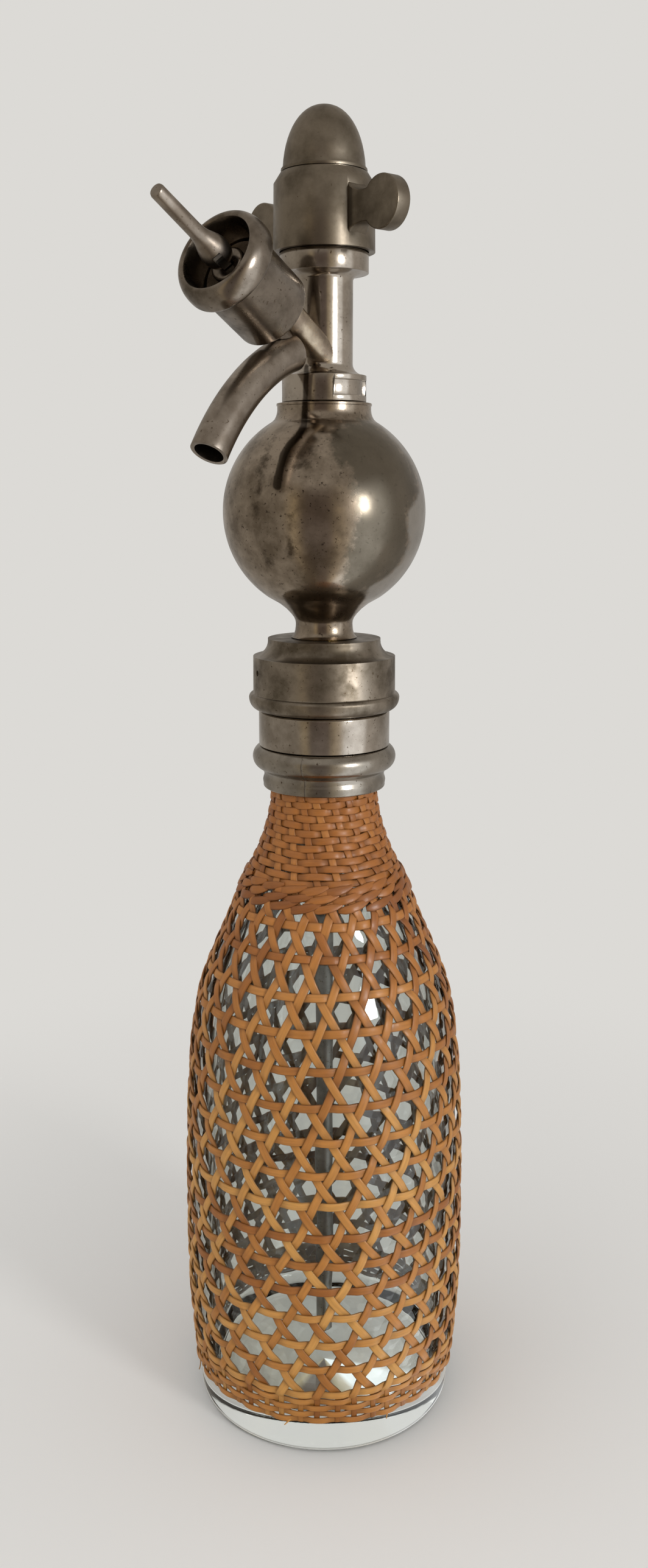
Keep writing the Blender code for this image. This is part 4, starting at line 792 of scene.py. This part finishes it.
# Places of the tarnish on the ball, in millimetres to the right of its centre and above it, as the camera sees them
DRIP = [(-5.4, 43.5), (-5.6, 37.3), (-5.8, 33.4), (-6.0, 29.5), (-6.2, 26.0), (-8.0, 22.9), (-10.8, 20.2),
        (-12.6, 17.1), (-13.6, 13.2), (-14.3, 10.1), (-14.6, 8.0)]
PATCH = [(13.1, 28.2), (3.9, 26.0), (2.8, 23.9), (2.8, 21.7), (2.4, 19.8), (2.0, 17.1), (4.7, 15.1), (6.7, 14.0),
         (8.1, 12.0), (8.3, 9.3), (8.7, 7.4), (8.3, 5.0), (9.9, 2.3), (10.7, -1.6), (10.3, -4.3), (8.3, -8.6),
         (7.5, -11.7), (7.1, -14.8), (6.3, -21.0), (7.5, -25.7), (13.1, -25.7), (14.3, -23.4), (19.9, -19.9),
         (23.9, -16.0), (25.9, -12.5), (26.7, -9.4), (26.3, -5.5), (25.9, -2.8), (26.3, 0.0), (27.9, 2.3),
         (29.8, 6.2), (29.4, 10.1), (26.7, 15.5), (23.1, 20.2), (18.3, 24.9)]
SILVER_EDGE = [(-26, 13.1), (-23.4, 14.3), (-19.9, 19.9), (-16.0, 23.9), (-12.5, 25.9), (-9.4, 26.7), (-2.8, 25.9),
               (0.0, 26.3), (2.3, 27.9), (6.2, 29.8), (10.1, 29.4), (15.5, 26.7), (20.2, 23.1), (24.9, 18.3)]
BLOTS = [((-15.6, 22.5), (-16.8, 21.4), 0.5), ((-16.8, 21.4), (-18.0, 19.0), 0.6), ((-17.2, 17.1), (-19.4, 15.5), 1.1),
         ((-19.4, 13.2), (-20.8, 12.0), 0.7), ((-19.2, 11.2), (-20.0, 8.5), 1.1), ((-20.0, 8.5), (-20.4, 6.2), 0.9),
         ((-21.6, 1.1), (-20.8, -0.8), 0.9), ((-9.4, 13.9), (-6.0, 14.6), 1.4), ((-7.5, 17.0), (-3.2, 18.6), 0.9),
         ((-10.4, -3.9), (-10.6, -1.0), 0.7), ((-6.6, -8.6), (-6.0, -9.0), 1.0), ((-10.8, -9.0), (-10.4, -13.0), 1.0),
         ((-18.8, -12.9), (-17.0, -15.5), 1.2)]


def apart(point, start, end):
    """Distance of a flat point from a line between two others, and how far along the line it lies."""
    along = end - start
    share = clamp((point - start).dot(along) / along.length_squared)
    return (point - start - along * share).length, share


def tarnish(piece):
    """Writes on a piece how far its points lie in the drip, the patch, the brighter plate and the dark spots."""
    across, toward = bearing(CAMERA_SIDE + 90), bearing(CAMERA_SIDE)
    above = CAMERA_PLACE[2] / MM - BALL_CENTRE
    mesh = piece.data
    marks = {name: [0.0] * len(mesh.vertices) for name in ("drip", "patch", "silver", "blot")}
    drip = [Vector(place) for place in DRIP]
    patch = [Vector(place) for place in PATCH]
    blots = [(Vector(start), Vector(end), size) for start, end, size in BLOTS]
    for vertex in mesh.vertices:
        near = vertex.co.dot(toward)
        if near < 0.002:
            continue
        scale = CAMERA_REACH / (CAMERA_REACH - near) / MM
        spot = Vector((vertex.co.dot(across) * scale, (vertex.co.z - CAMERA_PLACE[2]) * scale + above))
        reach = 9.0
        for index in range(len(drip) - 1):
            gap, share = apart(spot, drip[index], drip[index + 1])
            reach = min(reach, gap - (0.7 + 0.065 * (index + share)))
        marks["drip"][vertex.index] = clamp(0.5 - reach / 1.6)
        gap = min(apart(spot, patch[i - 1], patch[i])[0] for i in range(len(patch)))
        within = False
        for index in range(len(patch)):
            start, end = patch[index - 1], patch[index]
            if (start.y > spot.y) != (end.y > spot.y):
                if spot.x < start.x + (end.x - start.x) * (spot.y - start.y) / (end.y - start.y):
                    within = not within
        marks["patch"][vertex.index] = clamp(0.5 + (gap if within else -gap) / 6)
        marks["silver"][vertex.index] = clamp(0.5 + (spot.x - between(SILVER_EDGE, spot.y)) / 3)
        reach = min(apart(spot, start, end)[0] - size for start, end, size in blots)
        marks["blot"][vertex.index] = clamp(0.4 - reach / 4)
    for name, values in marks.items():
        mesh.attributes.new(name, 'FLOAT', 'POINT').data.foreach_set("value", values)


def make_ball():
    """Hollow ball with a waisted foot below and a ring on top that runs into it in a hollow curve."""
    centre = BALL_CENTRE
    outline = [(8.3, 264.5), (10.4, 264.5), (9.9, 264.9), (9.5, 265.6), (9.2, 266.6), (9.05, 267.8), (9.0, 268.8),
               (9.1, 269.7), (9.5, 270.7), (10.4, 271.9), (11.9, 273.5), (14.1, 275.2)]
    outline += arc(0, centre, 31.5, -56, 59.5, 84)
    outline += [(15.3, 331.1), (14.85, 331.9), (14.55, 332.8), (14.4, 333.8), (14.4, 335.0), (14.6, 335.15),
                (14.6, 335.75), (14.4, BALL_TOP), (9.5, BALL_TOP)]
    outline += arc(0, centre, 29.9, 71, -73, 30)
    ball = turned("ball_body", outline, 2 * FINE, ring=True)
    smooth(ball, 30)
    tarnish(ball)
    dress(ball, BALL, "head", "tarnished_nickel", "gas_ball")


def sector(name, inner, outer, low, high, start, sweep):
    """A part of a ring, made by spinning a small plane."""
    deselect()
    bpy.ops.mesh.primitive_plane_add(size=1, location=((inner + outer) / 2 * MM, 0, (low + high) / 2 * MM),
                                     rotation=(radians(90), 0, 0))
    piece = called(name)
    piece.scale = ((outer - inner) * MM, (high - low) * MM, 1)
    settle(piece)
    edit(piece)
    bpy.ops.mesh.spin(steps=20, angle=-radians(sweep), center=(0, 0, 0), axis=(0, 0, 1))
    close(piece)
    put(piece, Matrix.Rotation(radians(start - 90), 4, 'Z'))
    return piece


def make_column():
    """Column: spanner collar with two slots, slim shaft, flange and the well for the bulb."""
    b = COLUMN_BOTTOM
    outline = [(4.1, b - 10), (9.2, b - 10), (9.2, b), (12.9, b), (12.9, b + 7.8)]
    outline += arc(12.9, b + 11.3, 4.2, -100, -170, 7, 3.5) + [(8.7, b + 11.3), (8.7, 371.4)]
    outline += arc(13.4, 371.4, 4.7, 170, 100, 7, 2.0)
    outline += [(13.4, 373.4), (13.4, FLANGE_TOP), (13.1, FLANGE_TOP), (13.1, 388.9), (9.6, 388.9),
                (6.6, 381.9), (6.6, 363.9), (2.0, 363.9), (2.0, b + 21), (4.1, b + 21)]
    column = turned("column_body", outline, ring=True)
    for side in (0, 1):
        cut(column, sector("slot tool", 11.7, 14.9, b + 1.8, b + 6.2, 48 + 180 * side, 84))
    soften(column, 0.28, angle=40)
    smooth(column, 45)
    tarnish(column)
    dress(column, COLLARED, "head", "polished_nickel", "head_column")


def make_dome():
    """Acorn dome over the bulb, a little fuller than an ellipse."""
    fullness = 1.12

    def acorn(radius, rise):
        return [(radius * cos(radians(a)) ** (1 / fullness), NUT_TOP + rise * sin(radians(a)))
                for a in range(6, 90, 6)]

    outline = [(0, NUT_TOP + 18.8)] + acorn(12.3, 18.8)[::-1]
    outline += [(12.45, NUT_TOP + 1.3), (12.75, NUT_TOP + 1.2), (12.85, NUT_TOP + 0.8), (12.75, NUT_TOP + 0.3),
                (12.3, NUT_TOP + 0.2), (12.3, 398.5), (13.1, 398.5), (13.1, 395.9), (11.2, 395.9), (11.2, NUT_TOP)]
    outline += acorn(11.2, 17.7) + [(0, NUT_TOP + 17.7)]
    dome = turned("dome_body", outline)
    smooth(dome, 50)
    dress(dome, DULL, "dome", "dull_nickel", "bulb_dome")


def make_nut():
    """Nut over the dome with two flat round-ended wings."""
    outline = [(13.4, NUT_BOTTOM), (15.3, NUT_BOTTOM), (15.0, NUT_BOTTOM + 18.9), (13.1, NUT_TOP - 0.1)]
    outline += [(12.6, NUT_TOP), (12.6, NUT_TOP - 2.5), (13.4, NUT_TOP - 2.5)]
    nut = turned("nut_body", outline, ring=True)
    lobe, centre, neck = 7.4, 27.3, 4.5
    start = 180 - degrees(asin(neck / lobe))
    side = [(14.3, -7.0), (15.1, -6.7), (15.8, -5.7), (16.8, -4.9), (18.2, -4.5), (19.5, -4.4)]
    side += arc(centre, 0, lobe, -start, start, 40)
    side += [(19.5, 4.4), (18.2, 4.5), (16.8, 4.9), (15.8, 5.7), (15.1, 6.7), (14.3, 7.0)]
    for turn in (0, 180):
        place = Matrix.Translation((0, 0, (NUT_BOTTOM + 10.2) * MM)) @ Matrix.Rotation(
            radians(-14 - 90 + turn), 4, 'Z')
        wing = plate("wing", side, -2.5, 2.5)
        for reach, share in ((0.0185, 1.06), (0.0170, 1.1), (0.0160, 1.15)):
            edit(wing, lambda vertex, reach=reach: vertex.co.y < reach)
            bpy.ops.transform.resize(value=(share, 1, 1), center_override=(0, 0, 0))
            bpy.ops.object.mode_set(mode='OBJECT')
        soften(wing, 0.8, 3)
        put(wing, place)
        cut(nut, wing, 'UNION')
    soften(nut, 0.5, 3, 40)
    smooth(nut, 45)
    dress(nut, DULL, "nut", "dull_nickel", "winged_nut")


# ---- the tap ----

def make_housing():
    """Valve housing: a plain cup with a rolled rim."""
    outline = [(0, 28.5), (10.6, 28.5)] + arc(10.6, 29.5, 1.0, -80, 0, 5) + [(11.6, 47.6), (11.8, 48.3), (12.5, 48.9)]
    outline += arc(12.9, 50.5, 1.5, -70, 0, 6) + arc(11.55, 51.4, 2.85, 0, 90, 15, 5.3)
    outline += [(11.25, 56.6), (11.05, 56.2), (10.8, 55.2), (10.55, 53.8), (10.4, 52.0), (10.3, 50.0), (10.3, 46.2),
                (9.9, 45.6), (9.9, 32.5), (2.9, 32.5), (2.9, 33.5), (0, 33.5)]
    cup = turned("housing_body", outline, place=TAP)
    smooth(cup, 50)
    dress(cup, TARNISHED, "head", "tarnished_nickel", "valve_housing")
    boss = [(1.5, 44.0), (9.6, 44.0), (9.6, 47.4), (5.6, 47.4), (5.2, 47.8), (5.2, 50.9), (4.6, 51.5), (1.5, 51.5)]
    gland = turned("gland_body", boss, SMALL, ring=True, edge=0.2, place=TAP)
    smooth(gland)
    dress(gland, TARNISHED, "head", "tarnished_nickel", "gland_nut")


def make_branch():
    """Slanted tube that carries the tap, soldered to the column and the cup."""
    start = Vector((3.6, 0, 346.5)) * MM
    end = TAP @ (Vector((0, 3.8, 28.5)) * MM)
    place = Matrix.Translation(start) @ (end - start).to_track_quat('Z', 'Y').to_matrix().to_4x4()
    length = (end - start).length / MM
    outline = [(2.3, 4.2), (4.2, 4.2)] + [(4.2, 4.2 + (length - 4.4) * step / 6) for step in range(1, 7)]
    outline += [(2.3, length - 0.3)]
    tube = turned("branch_body", outline, SMALL, ring=True, place=place)
    deselect()
    bpy.ops.mesh.primitive_cylinder_add(vertices=FINE, radius=8.8 * MM, depth=40 * MM, location=(0, 0, 0.352))
    cut(tube, bpy.context.object)
    smooth(tube)
    dress(tube, SOLDER, "head", "tarnished_nickel", "tap_branch")


def make_spout():
    """Curved spout with an open end."""
    root, end = Vector((-16.6, 349.6)), Vector((-54.3, 320.3))
    out = Vector((-cos(radians(16)), -sin(radians(16))))
    down = Vector((-cos(radians(57)), -sin(radians(57))))
    span = (end - root).length
    middle = []
    steps = 28
    for step in range(steps + 1):
        t = step / steps
        middle.append((2 * t ** 3 - 3 * t ** 2 + 1) * root + (t ** 3 - 2 * t ** 2 + t) * span * out
                      + (3 * t ** 2 - 2 * t ** 3) * end + (t ** 3 - t ** 2) * span * down)
    spout = drawn("spout_body", middle, 5.5)
    bore = drawn("bore tool", middle[4:] + [middle[-1] + down * 3], 4.3)
    cut(spout, bore)
    soften(spout, 0.35, 3, 40)
    smooth(spout, 50)
    dress(spout, WORN, "head", "polished_nickel", "spout")


def make_lever():
    """Lever rod with a rounded, slotted foot, and the pin that it turns on."""
    rod = [(0, -3.0), (1.4, -2.9), (2.7, -2.3), (3.6, -1.3), (4.1, 0.0), (4.3, 1.4), (4.2, 2.9), (3.8, 4.6),
           (3.25, 6.1), (2.75, 7.5), (2.4, 9.0), (2.2, 11.0), (2.1, 27.0), (1.9, 27.5), (1.4, 27.7), (0, 27.7)]
    lever = turned("lever_body", rod, SMALL, place=PIVOT)
    slot = plate("slot tool", [(-8, -8), (8, -8), (8, 3.6), (-8, 3.6)], -1.3, 1.3, PIVOT)
    cut(lever, slot)
    smooth(lever, 45)
    dress(lever, WORN, "lever", "tarnished_nickel", "lever")
    cross = PIVOT @ Matrix.Rotation(radians(90), 4, 'Y')
    pin = turned("pin_body", [(0, -3.8), (1.0, -3.8), (1.0, 3.8), (0, 3.8)], 24, edge=0.15, place=cross)
    smooth(pin)
    dress(pin, STEEL, "stem", "bulb_steel", "lever_pin")


def make_spring():
    """Valve spring between the plunger and the packing, made at one length; in the tap it grows shorter as the valve
    opens.
    """
    node = bpy.data.objects["valve_spring"]
    heights = [(TAP.inverted() @ node.matrix_world @ vertex.co).z for vertex in node.data.vertices]
    foot, head = min(heights), max(heights)
    wire, coil, turns, steps, stroke = 0.4 * MM, 3.4 * MM, 3.5, 84, 1.05 * MM
    deselect()
    bpy.ops.mesh.primitive_circle_add(vertices=10, radius=wire, location=(coil, 0, foot + wire),
                                      rotation=(radians(90), 0, 0))
    spring = bpy.context.object
    spring.name = "valve_spring_coil"
    settle(spring)
    change(spring, 'SCREW', angle=2 * pi * turns, screw_offset=head - foot - 2 * wire, steps=steps,
           render_steps=steps)
    edit(spring)
    bpy.ops.mesh.fill_holes(sides=12)
    close(spring)
    put(spring, TAP)
    smooth(spring)
    dress(spring, STEEL, "head", "bulb_steel", "valve_spring")
    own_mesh(spring)


def make_tube():
    """Dip tube down the bottle, its end cut at a slant."""
    inner, outer, foot, top, slant = 1.9, 2.9, 14.0, 249.3, 4.0
    tube = turned("dip_tube_body", [(inner, foot), (outer, foot), (outer, top), (inner, top)], SMALL, ring=True)
    for vertex in tube.data.vertices:
        if vertex.co.z < (foot + 0.1) * MM:
            vertex.co.z += slant * (vertex.co.x + outer * MM) / (2 * outer)
    smooth(tube)
    dress(tube, TIN, "head", "tinned_tube", "dip_tube")


make_bottle()
make_rings()
make_slanted("cane_rising", 2, RISE_START, RISE, True)
make_slanted("cane_falling", 3, FALL_START, -FALL, False)
make_neck_weave()
make_waling()
make_foot()
make_collar()
make_ring()
make_cap()
make_ball()
make_column()
make_dome()
make_nut()
make_housing()
make_branch()
make_spout()
make_lever()
make_spring()
make_tube()

# Nodes of the model that stay as they are get their finish here
KEPT = {
    "neck_gasket": RUBBER, "head_seat": BRASS, "riser_tube": TIN, "piercer_plug": BRASS, "piercing_pin": STEEL,
    "bulb_washer": RUBBER, "gas_bulb": STEEL, "outlet_nipple": TARNISHED, "valve_disc": RUBBER,
    "valve_plunger": BRASS, "gland_packing": LEATHER, "valve_stem": STEEL,
}
for node, finish in KEPT.items():
    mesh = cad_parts[node].data
    mesh.materials.clear()
    mesh.materials.append(finish)


# ---- floor, light and camera ----

BACKDROP = "#DCDAD6"
# Brightness of the studio light that the metals mirror
MIRRORED = 1.6


def seen_ray(tree):
    """One where the camera looks straight or through glass."""
    path = add(tree, "LightPath").node.outputs
    return add(tree, "Math", {0: path["Is Camera Ray"], 1: path["Is Transmission Ray"]}, operation='MAXIMUM')


def surroundings(tree, way):
    """Soft studio light round the siphon, by bearing: brown-grey ahead of the camera's side, bright to its right."""
    right = add(tree, "VectorMath", {0: way, 1: bearing(CAMERA_SIDE + 90)}, output="Value", operation='DOT_PRODUCT')
    near = add(tree, "VectorMath", {0: way, 1: bearing(CAMERA_SIDE)}, output="Value", operation='DOT_PRODUCT')
    turn = add(tree, "Math", {0: right, 1: near}, operation='ARCTAN2')
    share = add(tree, "MapRange", {"Value": turn, "From Min": -pi, "From Max": pi})
    around = add(tree, "ValToRGB", {"Fac": share}, [
        (0.0, "#918E8A"), (0.20, "#8D8880"), (0.37, "#89837A"), (0.405, "#A0937A"), (0.435, "#5C534D"),
        (0.52, "#615751"), (0.545, "#A1957F"), (0.58, "#BFB5A5"), (0.60, "#F0F3F5"), (0.70, "#EDEFF0"),
        (0.725, "#A8A39D"), (0.85, "#94908B"), (1.0, "#918E8A")])
    height = add(tree, "SeparateXYZ", {0: way}, output="Z")
    high = add(tree, "MapRange", {"Value": height, "From Min": 0.3, "From Max": 0.55})
    return add(tree, "Mix", {"Factor": high, "A": around, "B": colour("#948F88")}, output="Result", data_type='RGBA')


def make_floor():
    """Plain pale floor that keeps the siphon's shadow and fades into the backdrop."""
    deselect()
    bpy.ops.mesh.primitive_plane_add(size=8, location=(0, 0, -0.0004))
    floor = bpy.context.object
    floor.name = "floor"
    made, tree, shader = new_material("pale floor", Base_Color=colour("#F2F0EC"), Roughness=0.8)
    place = add(tree, "TexCoord", output="Object")
    reach = add(tree, "VectorMath", {0: place}, output="Value", operation='LENGTH')
    away = add(tree, "MapRange", {"Value": reach, "From Min": 0.09, "From Max": 0.42},
               interpolation_type='SMOOTHSTEP')
    plain = add(tree, "Emission", {"Color": colour(BACKDROP), "Strength": 1.0})
    far = add(tree, "Math", {0: away, 1: seen_ray(tree)}, operation='MULTIPLY')
    both = add(tree, "MixShader", {0: far, 1: shader.outputs["BSDF"], 2: plain})
    glow = add(tree, "Emission", {"Color": surroundings(tree, place), "Strength": MIRRORED})
    glossy = add(tree, "LightPath", output="Is Glossy Ray")
    share = add(tree, "Math", {0: glossy, 1: 0.9}, operation='MULTIPLY')
    whole = add(tree, "MixShader", {0: share, 1: both, 2: glow})
    tree.links.new(whole, tree.nodes["Material Output"].inputs["Surface"])
    floor.data.materials.append(made)


def make_world():
    """Soft surroundings, brighter to the camera's right and behind, and plain where the camera sees them."""
    world = bpy.data.worlds.new("studio")
    bpy.context.scene.world = world
    world.use_nodes = True
    tree = world.node_tree
    tree.nodes.clear()
    way = add(tree, "TexCoord", output="Generated")
    soft = add(tree, "Background", {"Color": surroundings(tree, way), "Strength": MIRRORED})
    even = add(tree, "Background", {"Color": colour("#989898"), "Strength": 1.0})
    glossy = add(tree, "LightPath", output="Is Glossy Ray")
    unseen = add(tree, "MixShader", {0: glossy, 1: even, 2: soft})
    plain = add(tree, "Background", {"Color": colour(BACKDROP), "Strength": 1.0})
    both = add(tree, "MixShader", {0: seen_ray(tree), 1: unseen, 2: plain})
    add(tree, "OutputWorld", {"Surface": both})


def make_light(name, azimuth, elevation, distance, size, energy, mirrored=True):
    """A soft lamp that faces the siphon's middle, with or without its image in the metals."""
    data = bpy.data.lights.new(name, 'AREA')
    data.shape = 'RECTANGLE'
    data.size, data.size_y = size
    data.energy = energy
    lamp = bpy.data.objects.new(name, data)
    turn, rise = radians(azimuth), radians(elevation)
    way = Vector((sin(turn) * cos(rise), -cos(turn) * cos(rise), sin(rise)))
    lamp.location = way * distance + UP * 0.2
    lamp.rotation_euler = way.to_track_quat('Z', 'Y').to_euler()
    lamp.visible_glossy = mirrored
    bpy.context.scene.collection.objects.link(lamp)


def make_camera():
    """Camera at the photograph's viewing angle: level with the ball, looking a little down."""
    focal, frame_height, sensor = 2200, 2576, 36.0
    data = bpy.data.cameras.new("camera")
    data.sensor_fit = 'AUTO'
    data.sensor_width = sensor
    data.lens = focal / frame_height * sensor
    camera = bpy.data.objects.new("camera", data)
    camera.location = CAMERA_PLACE
    camera.rotation_euler = (radians(90 - CAMERA_TILT), 0, radians(CAMERA_SIDE))
    bpy.context.scene.collection.objects.link(camera)
    bpy.context.scene.camera = camera


make_floor()
make_world()
make_light("key", 80, 13, 1.3, (0.24, 0.3), 5.5)
make_light("fill", -40, 25, 1.6, (2.4, 2.4), 6, mirrored=False)
make_light("top", 20, 80, 1.4, (2.4, 2.4), 14, mirrored=False)
make_camera()
bpy.context.scene.view_settings.view_transform = 'Standard'
